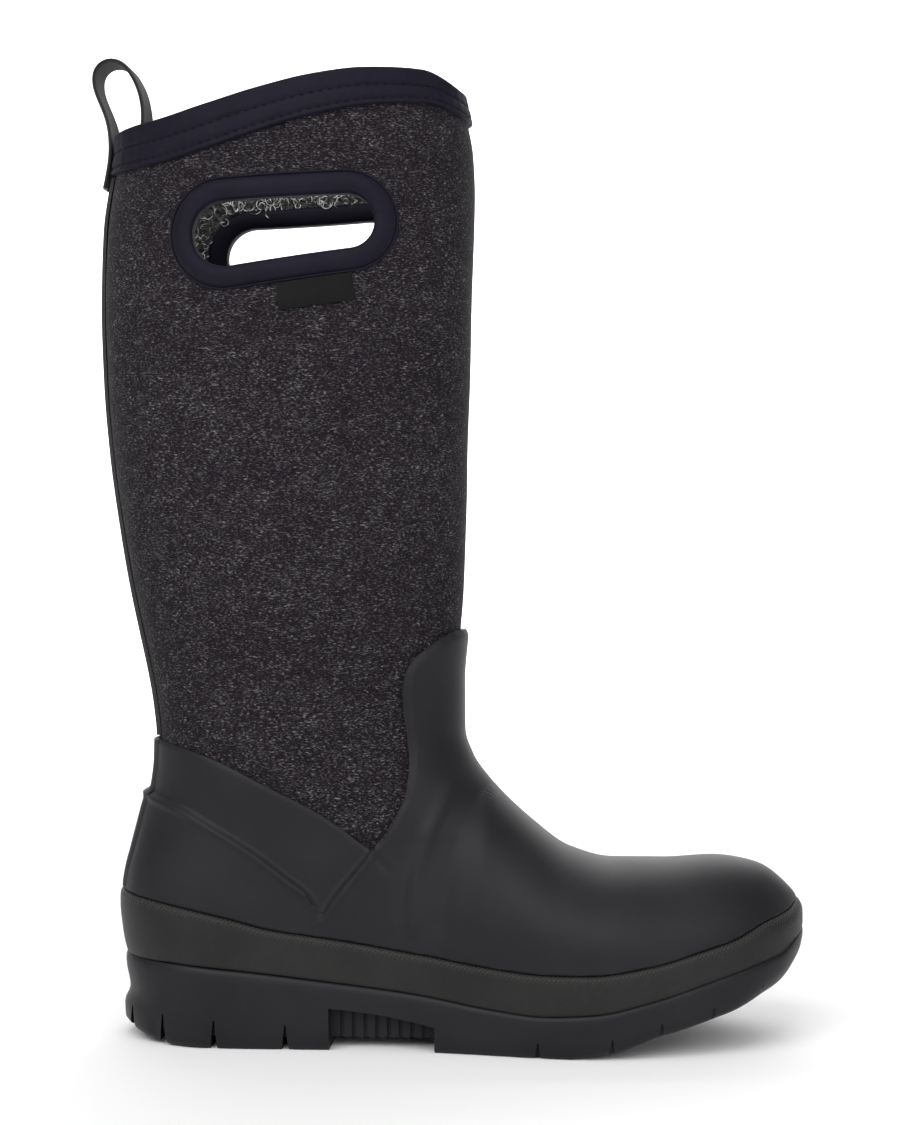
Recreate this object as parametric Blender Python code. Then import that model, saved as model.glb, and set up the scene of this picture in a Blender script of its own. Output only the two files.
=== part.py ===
# Wellington boot, right foot: +X is the toe, -Y the outer side, +Z up.
# The origin is on the floor, under the middle lug of the heel.
from bisect import bisect_right
from math import acos, cos, pi, sin, sqrt

import bmesh
import bpy
from mathutils import Vector

# Driving sizes, in metres
LENGTH = 0.288            # outsole, back of the heel to tip of the toe
COLLAR_HEIGHT = 0.4025    # floor to the highest point of the collar
INSTEP_HEIGHT = 0.120     # floor to the bend where foot turns into shaft
SOLE_HEIGHT = 0.0355      # joint line above the floor, at the back of the heel
BALL_WIDTH = 0.0935       # bootie across the ball
HEEL_WIDTH = 0.071        # bootie across the heel
CALF_WIDTH = 0.102        # bootie across the calf
TOE_SPRING = 0.033        # rise of the sole's edge at the toe
HEEL_BEVEL = 0.0045       # rise of the heel's back edge
TOE_SWING = 0.005         # how far the toe leans to the inner side

GAP = 0.0003              # between neighbouring pieces
WALL = 0.005              # bootie
INSOLE_THICK = 0.005
SHELL_THICK = 0.0018
SHELL_STEP = 0.0010       # vamp and counter stand this far above the ankle band
FOXING_HEIGHT = 0.0165
FOXING_THICK = 0.0025
SOLE_LEDGE = 0.0057       # outsole stands this far out of the bootie
HEEL_STRIP_WIDTH = 0.028
HEEL_STRIP_THICK = 0.0010
BACK_STRIP_WIDTH = 0.022
BACK_STRIP_THICK = 0.0016
BINDING_THICK = 0.0020
BINDING_DEPTH = 0.0150    # outer leg of the collar binding
BINDING_INNER_DEPTH = 0.0120
LOOP_WIDTH = 0.021
LOOP_THICK = 0.0018
LOOP_RISE = 0.032         # above the back of the collar
LOOP_LEG = 0.023          # outer leg, down from the back of the collar
HANDLE_SPAN = 0.0500      # between the centres of the handle's two round ends
HANDLE_BACK_RADIUS = 0.0151
HANDLE_FRONT_RADIUS = 0.0128
HANDLE_RUN = 0.075        # middle of the handle, ahead of the outsole's back
HANDLE_DROP = 0.0667      # middle of the handle, under the highest point of the collar
HANDLE_TILT = 0.100       # radians
HANDLE_FLANGE = 0.0080
HANDLE_PAD = 0.0018
HANDLE_LIP = 0.0015       # binding inside the hole
TAG_HEIGHT = 0.0110
TAG_THICK = 0.0008
TAG_SPAN = (0.36, 0.98)   # shares of the handle's straight lower side
STRIP_HOLD = 0.0012       # the heel strip ends this far under the shell's edge
TREAD_DEPTH = 0.0050
GROOVE_WIDTH = 0.0028
CHANNEL_WIDTH = 0.0030
CHANNEL_SPREAD = 0.0150   # of the two lengthwise channels from the middle
ARCH_INSET = 0.0080
ARCH_CLEAR = 0.0045       # arch above the floor
RIB_PITCH = 0.0044
RIB_GROOVE = 0.0016

HALF_COLUMNS = 18         # columns of faces from back to front, each side
LATERAL = -1
MEDIAL = 1

# Side view of the bootie, one row for each ring around it.
# Runs are shares of LENGTH. A rise up to 1 is a share of INSTEP_HEIGHT,
# and what it has above 1 is a share of the height from there to the collar.
# Columns: front_run, front_rise, back_run, back_rise. The first ring stands on
# the sole and the last under the collar, so they have runs alone.
FIRST_RING = (0.977, 0.0236)
RINGS = [
    (0.98, 0.421, 0.0186, 0.34),
    (0.9785, 0.467, 0.0148, 0.4),
    (0.961, 0.521, 0.0124, 0.46),
    (0.925, 0.5775, 0.0132, 0.52),
    (0.868, 0.598, 0.017, 0.58),
    (0.795, 0.5867, 0.0234, 0.64),
    (0.719, 0.5875, 0.0309, 0.71),
    (0.6545, 0.626, 0.0395, 0.79),
    (0.593, 0.731, 0.0497, 0.88),
    (0.5365, 0.863, 0.0537, 0.965),
    (0.5045, 0.971, 0.0543, 1.0198),
    (0.492, 1.0317, 0.0501, 1.0644),
    (0.4915, 1.1027, 0.0413, 1.117),
    (0.4965, 1.1699, 0.0285, 1.177),
    (0.502, 1.2408, 0.0139, 1.2478),
    (0.505, 1.336, -0.0007, 1.336),
    (0.507, 1.4421, -0.0149, 1.4421),
    (0.511, 1.5491, -0.0236, 1.5491),
    (0.5145, 1.6621, -0.0271, 1.6621),
    (0.517, 1.7721, -0.0243, 1.7721),
    (0.518, 1.8355, -0.018, 1.8246),
    (0.516, 1.8881, -0.0115, 1.8603),
    (0.509, 1.9307, -0.0076, 1.8871),
]
LAST_RING = (0.499, -0.0066)
TOE_RINGS = 1             # rings up to this one end on the face of the toe
INSTEP_RINGS = (9, 10)    # foot ridge ends here, shin starts here
SHAFT_RING = 13           # rings from here on follow the collar, not the sole
SHELL_RING = 15           # the shell is cut out of the rings up to this one

# Joint line of sole and upper: run of LENGTH, rise of SOLE_HEIGHT
SOLE_LINE = [
    (0.000, 1.000), (0.060, 0.985), (0.190, 0.904), (0.330, 0.778), (0.450, 0.662),
    (0.550, 0.535), (0.620, 0.484), (0.690, 0.513), (0.775, 0.659), (0.845, 0.831),
    (0.920, 1.008), (0.963, 1.110), (0.986, 1.248), (1.000, 1.330),
]
# Height of the foxing: run of LENGTH, share of FOXING_HEIGHT
FOXING_LINE = [
    (0.000, 1.58), (0.100, 1.41), (0.170, 1.25), (0.240, 1.08), (0.330, 1.05),
    (0.450, 0.98), (0.600, 1.00), (0.700, 0.93), (0.800, 0.82), (0.880, 0.79),
    (0.940, 0.92), (1.000, 0.85),
]
# Underside: run of LENGTH, rise of TOE_SPRING
SPRING_LINE = [
    (0.660, 0.00), (0.727, 0.095), (0.783, 0.270), (0.820, 0.355), (0.860, 0.460),
    (0.892, 0.545), (0.930, 0.665), (0.960, 0.750), (0.990, 0.935),
]
BEVEL_RUNS = (0.017, 0.146)
# Collar: share of the collar's depth from back to front, share of COLLAR_HEIGHT
COLLAR_LINE = [
    (0.00, 0.9441), (0.15, 0.9491), (0.30, 0.9615), (0.45, 0.9764), (0.60, 0.9896),
    (0.75, 0.9978), (0.90, 1.0000), (1.00, 0.9863),
]
# Leg of the collar binding: share of the way to the front, share of BINDING_DEPTH
BINDING_LINE = [(0.0, 1.00), (0.3, 1.13), (0.5, 1.03), (0.7, 0.90), (0.85, 0.80), (1.0, 0.66)]

# Half widths of the foot: run of LENGTH, share of HEEL_WIDTH, shares of BALL_WIDTH
PLAN_COLUMNS = ("run", "heel", "lateral", "medial")
PLAN = [
    (0.000, 0.50, 0.000, 0.000),
    (0.250, 0.50, 0.000, 0.000),
    (0.350, 0.36, 0.102, 0.080),
    (0.450, 0.18, 0.259, 0.205),
    (0.550, 0.05, 0.411, 0.347),
    (0.640, 0.00, 0.503, 0.449),
    (0.710, 0.00, 0.519, 0.481),
    (0.790, 0.00, 0.505, 0.490),
    (1.000, 0.00, 0.480, 0.490),
]
# Height where the foot is widest: run of LENGTH, share of INSTEP_HEIGHT
WIDEST_LINE = [
    (0.00, 0.383), (0.30, 0.367), (0.55, 0.333), (0.70, 0.317), (0.85, 0.333),
    (0.95, 0.358), (1.00, 0.375),
]
FOOT_SHELF = 0.875        # the foot closes here behind the instep, of INSTEP_HEIGHT
HEEL_ROUND = 0.140        # rounding of the heel in plan, of LENGTH
TOE_ROUND = 0.280
ROUND_POWER = 2.2         # 2 is an ellipse, more is fuller
DOME_POWER = 2.3
TUCK = 0.10               # how far the side turns in under its widest height
BLEND_POWER = 8           # foot and shaft join with a soft edge

# Shaft: rise as in RINGS, half width as share of CALF_WIDTH,
# roundings as shares of the shaft's depth
SHAFT_COLUMNS = ("rise", "half_width", "back_round", "front_round")
SHAFT = [
    (0.25, 0.235, 0.25, 0.38),
    (0.417, 0.265, 0.26, 0.38),
    (0.667, 0.328, 0.28, 0.4),
    (0.917, 0.368, 0.4, 0.46),
    (1.0704, 0.378, 0.48, 0.51),
    (1.1774, 0.402, 0.49, 0.51),
    (1.2835, 0.431, 0.49, 0.51),
    (1.4599, 0.471, 0.49, 0.51),
    (1.6373, 0.495, 0.49, 0.51),
    (1.779, 0.5, 0.49, 0.51),
    (1.9912, 0.485, 0.49, 0.51),
]

# Top edge of the shell in side view, back to front: run of LENGTH, rise as in RINGS
SHELL_EDGE = [
    (0.02, 1.0258), (0.043, 1.0208), (0.132, 1.0), (0.248, 0.873), (0.305, 0.802),
    (0.34, 0.744), (0.377, 0.687), (0.392, 0.72), (0.413, 0.8), (0.428, 0.877),
    (0.431, 0.972), (0.428, 1.0258), (0.422, 1.0664), (0.422, 1.0942), (0.424, 1.1229),
    (0.436, 1.1398), (0.457, 1.1576), (0.476, 1.1735), (0.51, 1.1804),
]
# Low ankle band between counter and vamp: the counter's edge down, the vamp's edge up
BAND_EDGE = [
    (0.020, 0.860), (0.037, 0.852), (0.101, 0.818), (0.158, 0.750), (0.212, 0.669),
    (0.255, 0.592), (0.283, 0.540), (0.297, 0.499), (0.305, 0.440), (0.308, 0.449),
    (0.326, 0.525), (0.354, 0.610), (0.378, 0.676), (0.390, 0.700),
]
PRISM_REACH = 0.15        # cutters run this far past the boot

# Side of the outsole: level from tread to joint, then how far it stands out
# of the bootie at the sides, at the back of the heel and at the toe, of SOLE_LEDGE
SOLE_COLUMNS = ("level", "side", "back", "toe")
SOLE_SIDE = [
    (1.00, 0.91, 0.98, 1.00),
    (0.87, 1.00, 1.03, 1.05),
    (0.50, 0.98, 0.63, 0.88),
    (0.28, 0.96, 1.16, 0.50),
    (0.10, 0.84, 1.12, -0.09),
    (0.00, 0.63, 0.56, -0.70),
]
SOLE_BACK_RUN = 0.085     # the heel's back profile fades out by here, of LENGTH
SOLE_TOE_RUN = 0.880      # the toe's profile fades in from here
HEEL_GROOVES = (0.0764, 0.1528, 0.2552)   # runs of LENGTH
BALL_GROOVES = (0.615, 0.719, 0.788, 0.861, 0.932)
ARCH_RUNS = (0.318, 0.469)
ARCH_RISES = (0.490, 0.300)  # top of the arch recess at the side, of SOLE_HEIGHT
CHANNEL_RUNS = [(0.060, 0.310), (0.480, 0.950)]

# Loop above the collar: forward and up in LOOP_RISE from the outer leg at the collar,
# and how far its width still follows the curve of the wall
LOOP_COLUMNS = ("forward", "rise", "curve")
LOOP = [
    (-0.06, 0.25, 0.80), (-0.17, 0.54, 0.50), (-0.21, 0.73, 0.25), (-0.17, 0.90, 0.10),
    (-0.02, 1.00, 0.00), (0.15, 0.97, 0.00), (0.31, 0.79, 0.10), (0.40, 0.56, 0.40),
    (0.43, 0.33, 0.75), (0.42, 0.14, 1.00),
]

FABRIC = (0.085, 0.087, 0.092)
BINDING_CLOTH = (0.012, 0.011, 0.022)
RUBBER = (0.030, 0.030, 0.034)
BAND_RUBBER = (0.028, 0.029, 0.028)
SOLE_RUBBER = (0.026, 0.026, 0.028)
WEBBING = (0.010, 0.010, 0.012)
FOAM = (0.180, 0.180, 0.190)


def smooth_through(points):
    """A smooth curve through (x, y) points that never swings past them."""
    xs = [point[0] for point in points]
    ys = [point[1] for point in points]
    slopes = [(y1 - y0) / (x1 - x0) for x0, x1, y0, y1 in zip(xs, xs[1:], ys, ys[1:])]
    inner = [2 * a * b / (a + b) if a * b > 0 else 0.0 for a, b in zip(slopes, slopes[1:])]
    tangents = [slopes[0]] + inner + [slopes[-1]]

    def value(x):
        if x <= xs[0]:
            return ys[0] + tangents[0] * (x - xs[0])
        if x >= xs[-1]:
            return ys[-1] + tangents[-1] * (x - xs[-1])
        i = bisect_right(xs, x) - 1
        step = xs[i + 1] - xs[i]
        u = (x - xs[i]) / step
        rise = (3 - 2 * u) * u * u
        start = u * (1 - u) ** 2 * step * tangents[i]
        end = u * u * (u - 1) * step * tangents[i + 1]
        return ys[i] + (ys[i + 1] - ys[i]) * rise + start + end

    return value


def straight_through(points):
    """Straight runs between (x, y) points, level beyond both ends."""
    xs = [point[0] for point in points]
    ys = [point[1] for point in points]

    def value(x):
        if x <= xs[0]:
            return ys[0]
        if x >= xs[-1]:
            return ys[-1]
        i = bisect_right(xs, x) - 1
        return ys[i] + (ys[i + 1] - ys[i]) * (x - xs[i]) / (xs[i + 1] - xs[i])

    return value


def table_curve(rows, columns, key, name):
    at_key = columns.index(key)
    at_name = columns.index(name)
    return smooth_through([(row[at_key], row[at_name]) for row in rows])


def clamp(value, low=0.0, high=1.0):
    return min(max(value, low), high)


def ease(value):
    value = clamp(value)
    return value * value * (3 - 2 * value)


def corner(share, power):
    """Rounded end: 0 at share 0, full at share 1."""
    return (1 - (1 - clamp(share)) ** power) ** (1 / power)


def height_of(rise):
    shaft = COLLAR_HEIGHT - INSTEP_HEIGHT
    return INSTEP_HEIGHT * min(rise, 1) + shaft * max(rise - 1, 0)


def rise_of(height):
    if height <= INSTEP_HEIGHT:
        return height / INSTEP_HEIGHT
    return 1 + (height - INSTEP_HEIGHT) / (COLLAR_HEIGHT - INSTEP_HEIGHT)


sole_share = smooth_through(SOLE_LINE)
foxing_share = smooth_through(FOXING_LINE)
spring_share = smooth_through(SPRING_LINE)
collar_share = smooth_through(COLLAR_LINE)
binding_share = smooth_through(BINDING_LINE)
widest_share = smooth_through(WIDEST_LINE)
heel_part = table_curve(PLAN, PLAN_COLUMNS, "run", "heel")
ball_part = {
    LATERAL: table_curve(PLAN, PLAN_COLUMNS, "run", "lateral"),
    MEDIAL: table_curve(PLAN, PLAN_COLUMNS, "run", "medial"),
}
shaft_half = table_curve(SHAFT, SHAFT_COLUMNS, "rise", "half_width")
shaft_back_round = table_curve(SHAFT, SHAFT_COLUMNS, "rise", "back_round")
shaft_front_round = table_curve(SHAFT, SHAFT_COLUMNS, "rise", "front_round")


def sole_top(x):
    return SOLE_HEIGHT * sole_share(x / LENGTH)


def foxing_top(x):
    return sole_top(x) + FOXING_HEIGHT * foxing_share(x / LENGTH)


def ground(x):
    run = x / LENGTH
    heel = HEEL_BEVEL * clamp((BEVEL_RUNS[1] - run) / (BEVEL_RUNS[1] - BEVEL_RUNS[0])) ** 2
    toe = TOE_SPRING * spring_share(run) if run > SPRING_LINE[0][0] else 0.0
    return heel + toe


def wall_top(share):
    """Top of the bootie's wall, under the fold of the collar binding."""
    return COLLAR_HEIGHT * collar_share(share) - BINDING_THICK - GAP


def middle(x):
    """Sideways place of the last's middle line, which swings in at the toe."""
    return TOE_SWING * clamp(2 * x / LENGTH - 1) ** 2


# Silhouettes in side view, from the ring table
ring_ends = [(LENGTH * FIRST_RING[0], sole_top(LENGTH * FIRST_RING[0]) + GAP,
              LENGTH * FIRST_RING[1], sole_top(LENGTH * FIRST_RING[1]) + GAP)]
for row in RINGS:
    front_run, front_rise, back_run, back_rise = row
    ring_ends.append((LENGTH * front_run, height_of(front_rise),
                      LENGTH * back_run, height_of(back_rise)))
ring_ends.append((LENGTH * LAST_RING[0], wall_top(1), LENGTH * LAST_RING[1], wall_top(0)))
LAST = len(ring_ends) - 1
front_x, front_z, back_x, back_z = [
    smooth_through([(i, ends[column]) for i, ends in enumerate(ring_ends)])
    for column in range(4)
]
FINE = 8                  # silhouette points for each ring
fine_steps = [i / FINE for i in range(LAST * FINE + 1)]
foot_ridge = straight_through(sorted(
    (front_x(s), front_z(s)) for s in fine_steps if TOE_RINGS <= s <= INSTEP_RINGS[1]))
shin = straight_through([(front_z(s), front_x(s)) for s in fine_steps if s >= INSTEP_RINGS[0]])
toe_face = straight_through([(front_z(s), front_x(s)) for s in fine_steps if s <= TOE_RINGS])
heel_back = straight_through([(back_z(s), back_x(s)) for s in fine_steps])


def half_width(x, z, side):
    """Half width of the bootie at a point of its side view."""
    run = x / LENGTH
    top = min(foot_ridge(x), FOOT_SHELF * INSTEP_HEIGHT)
    widest = INSTEP_HEIGHT * widest_share(run)
    up = (z - widest) / (top - widest)
    if up >= 0:
        profile = corner(1 - up, DOME_POWER)
    else:
        profile = 1 - TUCK * ((widest - z) / widest) ** 2
    half = HEEL_WIDTH * heel_part(run) + BALL_WIDTH * ball_part[side](run)
    from_back = x - heel_back(z)
    heel_end = corner(from_back / (HEEL_ROUND * LENGTH), ROUND_POWER)
    toe_end = corner((toe_face(z) - x) / (TOE_ROUND * LENGTH), ROUND_POWER)
    foot = half * profile * heel_end * toe_end

    rise = rise_of(z)
    depth = shin(z) - heel_back(z)
    back_end = corner(from_back / (shaft_back_round(rise) * depth), ROUND_POWER)
    front_end = corner((shin(z) - x) / (shaft_front_round(rise) * depth), ROUND_POWER)
    shaft = CALF_WIDTH * shaft_half(rise) * back_end * front_end
    return (foot ** BLEND_POWER + shaft ** BLEND_POWER) ** (1 / BLEND_POWER)


def ring_point(s, t, side):
    """Point of the bootie's surface on ring s, share t of the way to the front."""
    x = back_x(s) + (front_x(s) - back_x(s)) * t
    z = back_z(s) + (front_z(s) - back_z(s)) * t
    low = clamp(1 - s / SHAFT_RING) ** 1.5
    if low:
        first_x = back_x(0) + (front_x(0) - back_x(0)) * t
        first_z = back_z(0) + (front_z(0) - back_z(0)) * t
        z += (sole_top(first_x) + GAP - first_z) * low
    high = clamp((s - SHAFT_RING) / (LAST - SHAFT_RING)) ** 1.5
    if high:
        last_z = back_z(LAST) + (front_z(LAST) - back_z(LAST)) * t
        z += (wall_top(t) - last_z) * high
    width = 0.0 if t in (0, 1) else half_width(x, z, side)
    return Vector((x, middle(x) + side * width, z))


SAMPLES = 72
END_CROWDING = 0.60       # columns stand closer at heel and toe


def column_share(j, s):
    u = j / HALF_COLUMNS
    crowd = END_CROWDING * ease((SHAFT_RING + 1 - s) / 6)
    return u * (1 - crowd) + crowd * (1 - cos(pi * u)) / 2


def half_ring(s, side):
    """One side of a ring, its points spread along the real length of the curve."""
    points = [ring_point(s, (1 - cos(pi * i / SAMPLES)) / 2, side) for i in range(SAMPLES + 1)]
    lengths = [0.0]
    for a, b in zip(points, points[1:]):
        lengths.append(lengths[-1] + (b - a).length)
    spread = []
    i = 0
    for j in range(HALF_COLUMNS + 1):
        wanted = lengths[-1] * column_share(j, s)
        while i < SAMPLES - 1 and lengths[i + 1] < wanted:
            i += 1
        share = clamp((wanted - lengths[i]) / (lengths[i + 1] - lengths[i]))
        spread.append(points[i].lerp(points[i + 1], share))
    return spread


COLUMNS = 2 * HALF_COLUMNS
LATTICE_STEP = 4          # lattice rows for each ring


def build_lattice():
    """Close-set rows of points and outward normals all over the bootie."""
    rows = []
    for i in range(LAST * LATTICE_STEP + 1):
        s = i / LATTICE_STEP
        lateral = half_ring(s, LATERAL)
        medial = half_ring(s, MEDIAL)
        rows.append(lateral + medial[-2:0:-1])
    normals = []
    for i, ring in enumerate(rows):
        above = rows[min(i + 1, len(rows) - 1)]
        below = rows[max(i - 1, 0)]
        line = []
        for j in range(COLUMNS):
            around = ring[(j + 1) % COLUMNS] - ring[j - 1]
            line.append(around.cross(above[j] - below[j]).normalized())
        normals.append(line)
    return rows, normals


lattice, lattice_normals = build_lattice()


def on_bootie(s, j, offset):
    """Point of column j at ring height s, moved out by offset."""
    place = clamp(s * LATTICE_STEP, 0, len(lattice) - 1)
    i = min(int(place), len(lattice) - 2)
    share = place - i
    point = lattice[i][j].lerp(lattice[i + 1][j], share)
    normal = lattice_normals[i][j].lerp(lattice_normals[i + 1][j], share)
    return point + normal.normalized() * offset


def around_bootie(s, offset):
    """A whole ring; s may be one value or a list with a value for each column."""
    heights = s if isinstance(s, list) else [s] * COLUMNS
    return [on_bootie(heights[j], j, offset) for j in range(COLUMNS)]


def on_facets(s, j, offset):
    """As on_bootie, on the straight faces between whole rings."""
    i = min(int(s), LAST - 1)
    return on_bootie(i, j, offset).lerp(on_bootie(i + 1, j, offset), s - i)


def around_facets(heights, offset):
    return [on_facets(heights[j], j, offset) for j in range(COLUMNS)]


def seated(ring, gap=GAP):
    """A ring whose points stand on the sole."""
    return [Vector((point.x, point.y, sole_top(point.x) + gap)) for point in ring]


def ring_height(j, line):
    """Ring height s at which column j crosses a line z = line(x)."""
    before = lattice[0][j].z - line(lattice[0][j].x)
    for i in range(1, len(lattice)):
        after = lattice[i][j].z - line(lattice[i][j].x)
        if after >= 0:
            return (i - 1 + clamp(before / (before - after))) / LATTICE_STEP
        before = after
    return LAST


def to_front(j):
    """Share of the way from back to front of column j."""
    return min(j, COLUMNS - j) / HALF_COLUMNS


# Mesh and object helpers

HEEL_SEAT = LENGTH * (HEEL_GROOVES[1] + HEEL_GROOVES[2]) / 2
materials = {}


def material(name, colour, roughness):
    if name not in materials:
        new = bpy.data.materials.new(name)
        new.use_nodes = True
        shader = new.node_tree.nodes["Principled BSDF"]
        shader.inputs["Base Color"].default_value = (*colour, 1.0)
        shader.inputs["Roughness"].default_value = roughness
        shader.inputs["Metallic"].default_value = 0.0
        materials[name] = new
    return materials[name]


def add_object(name, points, faces, finish=None):
    """An object from points in the boot's frame, moved so that the heel is at the origin."""
    mesh = bpy.data.meshes.new(name)
    work = bmesh.new()
    vertices = [work.verts.new((p[0] - HEEL_SEAT, p[1], p[2])) for p in points]
    for face in faces:
        work.faces.new([vertices[i] for i in face])
    bmesh.ops.recalc_face_normals(work, faces=work.faces)
    work.to_mesh(mesh)
    work.free()
    made = bpy.data.objects.new(name, mesh)
    bpy.context.collection.objects.link(made)
    if finish:
        mesh.materials.append(material(*finish))
        mesh.shade_smooth()
        mesh.set_sharp_from_angle(angle=0.6)
    else:
        made.hide_render = True
        made.display_type = "WIRE"
    return made


def ring_faces(rings, count, closed):
    faces = []
    last = rings if closed else rings - 1
    for i in range(last):
        for j in range(count):
            a = i * count
            b = (i + 1) % rings * count
            k = (j + 1) % count
            faces.append((a + j, a + k, b + k, b + j))
    return faces


def hollow_band(name, rings, finish=None):
    """A band around the boot: rings up its outside and down its inside, joined.
    Every face is split from its lower to its upper edge, toward the next column,
    so that nested bands keep their distance all over."""
    points = [point for ring in rings for point in ring]
    count = len(rings[0])
    faces = []
    for i, ring in enumerate(rings):
        following = (i + 1) % len(rings)
        low, high = i * count, following * count
        if rings[following][0].z < ring[0].z:
            low, high = high, low
        for j in range(count):
            k = (j + 1) % count
            faces += [(low + j, low + k, high + k), (low + j, high + k, high + j)]
    return add_object(name, points, faces, finish)


def ladder(ring_start, count):
    """Faces that close a ring of the boot by rungs from its outer to its inner side."""
    half = count // 2
    rungs = []
    for j in range(half):
        left = [ring_start + j, ring_start + j + 1]
        right = [ring_start + (count - j - 1) % count, ring_start + (count - j) % count]
        face = left + right
        rungs.append(tuple(dict.fromkeys(face)))
    return rungs


def slab(name, rings, finish=None):
    """A solid of stacked rings, its top and bottom closed by rungs."""
    count = len(rings[0])
    points = [point for ring in rings for point in ring]
    faces = ring_faces(len(rings), count, False)
    faces += ladder(0, count) + ladder((len(rings) - 1) * count, count)
    return add_object(name, points, faces, finish)


def strip(name, sections, finish=None, closed=False):
    """A solid of sections set along a run, its ends capped or joined."""
    count = len(sections[0])
    points = [point for section in sections for point in section]
    faces = ring_faces(len(sections), count, closed)
    if not closed:
        faces += [tuple(range(count)), tuple(range(len(points) - count, len(points)))]
    return add_object(name, points, faces, finish)


def blocks(name, boxes):
    """One cutter of separate six-sided blocks, each given by its eight corners."""
    points = []
    faces = []
    sides = [(0, 1, 2, 3), (4, 5, 6, 7), (0, 1, 5, 4), (1, 2, 6, 5), (2, 3, 7, 6), (3, 0, 4, 7)]
    for box in boxes:
        start = len(points)
        points += box
        faces += [tuple(start + i for i in side) for side in sides]
    return add_object(name, points, faces)


def side_block(profile, y_from, y_to):
    """Eight corners of a block with a four-cornered profile in side view."""
    return [(x, y_from, z) for x, z in profile] + [(x, y_to, z) for x, z in profile]


def side_prism(name, outline):
    """A cutter with an outline in side view, right across the boot."""
    sections = [[(x, y, z) for x, z in outline] for y in (-PRISM_REACH, PRISM_REACH)]
    return strip(name, sections)


def combine(target, tool, operation):
    change = target.modifiers.new(tool.name, "BOOLEAN")
    change.operation = operation
    change.object = tool
    change.solver = "EXACT"
    tool.hide_render = True
    tool.display_type = "WIRE"


def side_view(table):
    return [(LENGTH * run, height_of(rise)) for run, rise in table]


# Outsole

def sole_ledge(level, x):
    names = SOLE_COLUMNS
    side = sole_profiles["side"](level)
    back = sole_profiles["back"](level)
    toe = sole_profiles["toe"](level)
    run = x / LENGTH
    at_back = 1 - ease(run / SOLE_BACK_RUN)
    at_toe = ease((run - SOLE_TOE_RUN) / (FIRST_RING[0] - SOLE_TOE_RUN))
    return SOLE_LEDGE * (side + (back - side) * at_back + (toe - side) * at_toe)


sole_profiles = {
    name: table_curve(SOLE_SIDE[::-1], SOLE_COLUMNS, "level", name)
    for name in SOLE_COLUMNS[1:]
}


def sole_ring(level):
    ring = []
    for j in range(COLUMNS):
        base = lattice[0][j]
        around = lattice[0][(j + 1) % COLUMNS] - lattice[0][j - 1]
        out = Vector((around.y, -around.x, 0)).normalized()
        point = base + out * sole_ledge(level, base.x)
        point.z = ground(point.x) + (sole_top(point.x) - ground(point.x)) * level
        ring.append(point)
    return ring


def tread_groove(run, width, depth):
    x = LENGTH * run
    top = ground(x) + depth
    low = ground(x) - depth
    profile = [(x - width * 0.65, low), (x + width * 0.65, low),
               (x + width * 0.25, top), (x - width * 0.25, top)]
    return side_block(profile, -PRISM_REACH, PRISM_REACH)


def channel(name, runs, side):
    """A lengthwise channel in the tread that follows the underside up to the toe."""
    sections = []
    stations = 10
    for i in range(stations + 1):
        x = LENGTH * (runs[0] + (runs[1] - runs[0]) * i / stations)
        y = middle(x) + side * CHANNEL_SPREAD
        low = ground(x) - TREAD_DEPTH
        high = ground(x) + TREAD_DEPTH * 0.8
        half = CHANNEL_WIDTH / 2
        sections.append([(x, y - half * 1.4, low), (x, y + half * 1.4, low),
                         (x, y + half, high), (x, y - half, high)])
    return strip(name, sections)


def build_outsole():
    band = SHELL_THICK + 3 * GAP
    rings = [seated(around_bootie(0, offset), 0) for offset in (-WALL, 0, band)]
    rings += [sole_ring(row[0]) for row in SOLE_SIDE]
    sole = slab("outsole", rings, ("sole_rubber", SOLE_RUBBER, 0.6))
    start, end = (LENGTH * run for run in ARCH_RUNS)
    top_start, top_end = (SOLE_HEIGHT * rise for rise in ARCH_RISES)
    recess = [(start, -ARCH_CLEAR), (end, -ARCH_CLEAR), (end, top_end), (start, top_start)]
    core = {}
    for side in (LATERAL, MEDIAL):
        x = (start + end) / 2
        core[side] = side * (half_width(x, SOLE_HEIGHT, side) + SOLE_LEDGE - ARCH_INSET)
    sides = [side_block(recess, core[side], side * PRISM_REACH) for side in (LATERAL, MEDIAL)]
    combine(sole, blocks("arch_sides", sides), "DIFFERENCE")
    under = [(start, -ARCH_CLEAR), (end, -ARCH_CLEAR), (end, ARCH_CLEAR), (start, ARCH_CLEAR)]
    combine(sole, blocks("arch_under", [side_block(under, -PRISM_REACH, PRISM_REACH)]),
            "DIFFERENCE")
    ribs = []
    count = int((end - start) / RIB_PITCH)
    for i in range(1, count):
        x = start + (end - start) * i / count
        top = top_start + (top_end - top_start) * i / count
        half = RIB_GROOVE / 2
        rib = [(x - half, 0), (x + half, 0), (x + half, top - half), (x - half, top - half)]
        for side in (LATERAL, MEDIAL):
            ribs.append(side_block(rib, core[side] - side * RIB_GROOVE, core[side] + side * half))
    combine(sole, blocks("arch_ribs", ribs), "DIFFERENCE")
    grooves = [tread_groove(run, GROOVE_WIDTH, TREAD_DEPTH) for run in HEEL_GROOVES + BALL_GROOVES]
    combine(sole, blocks("tread_grooves", grooves), "DIFFERENCE")
    for part, runs in zip(("heel", "ball"), CHANNEL_RUNS):
        for side, word in ((LATERAL, "lateral"), (MEDIAL, "medial")):
            combine(sole, channel("channel_" + part + "_" + word, runs, side), "DIFFERENCE")


# Insole

def build_insole():
    inset = -(WALL + 2 * GAP)
    lift = 2 * GAP
    rings = []
    for rise in (lift + INSOLE_THICK, lift):
        heights = [ring_height(j, lambda x: sole_top(x) + rise) for j in range(COLUMNS)]
        rings.append(seated(around_bootie(heights, inset), rise))
    slab("insole", rings, ("insole_foam", FOAM, 0.9))


# Bootie

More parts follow.
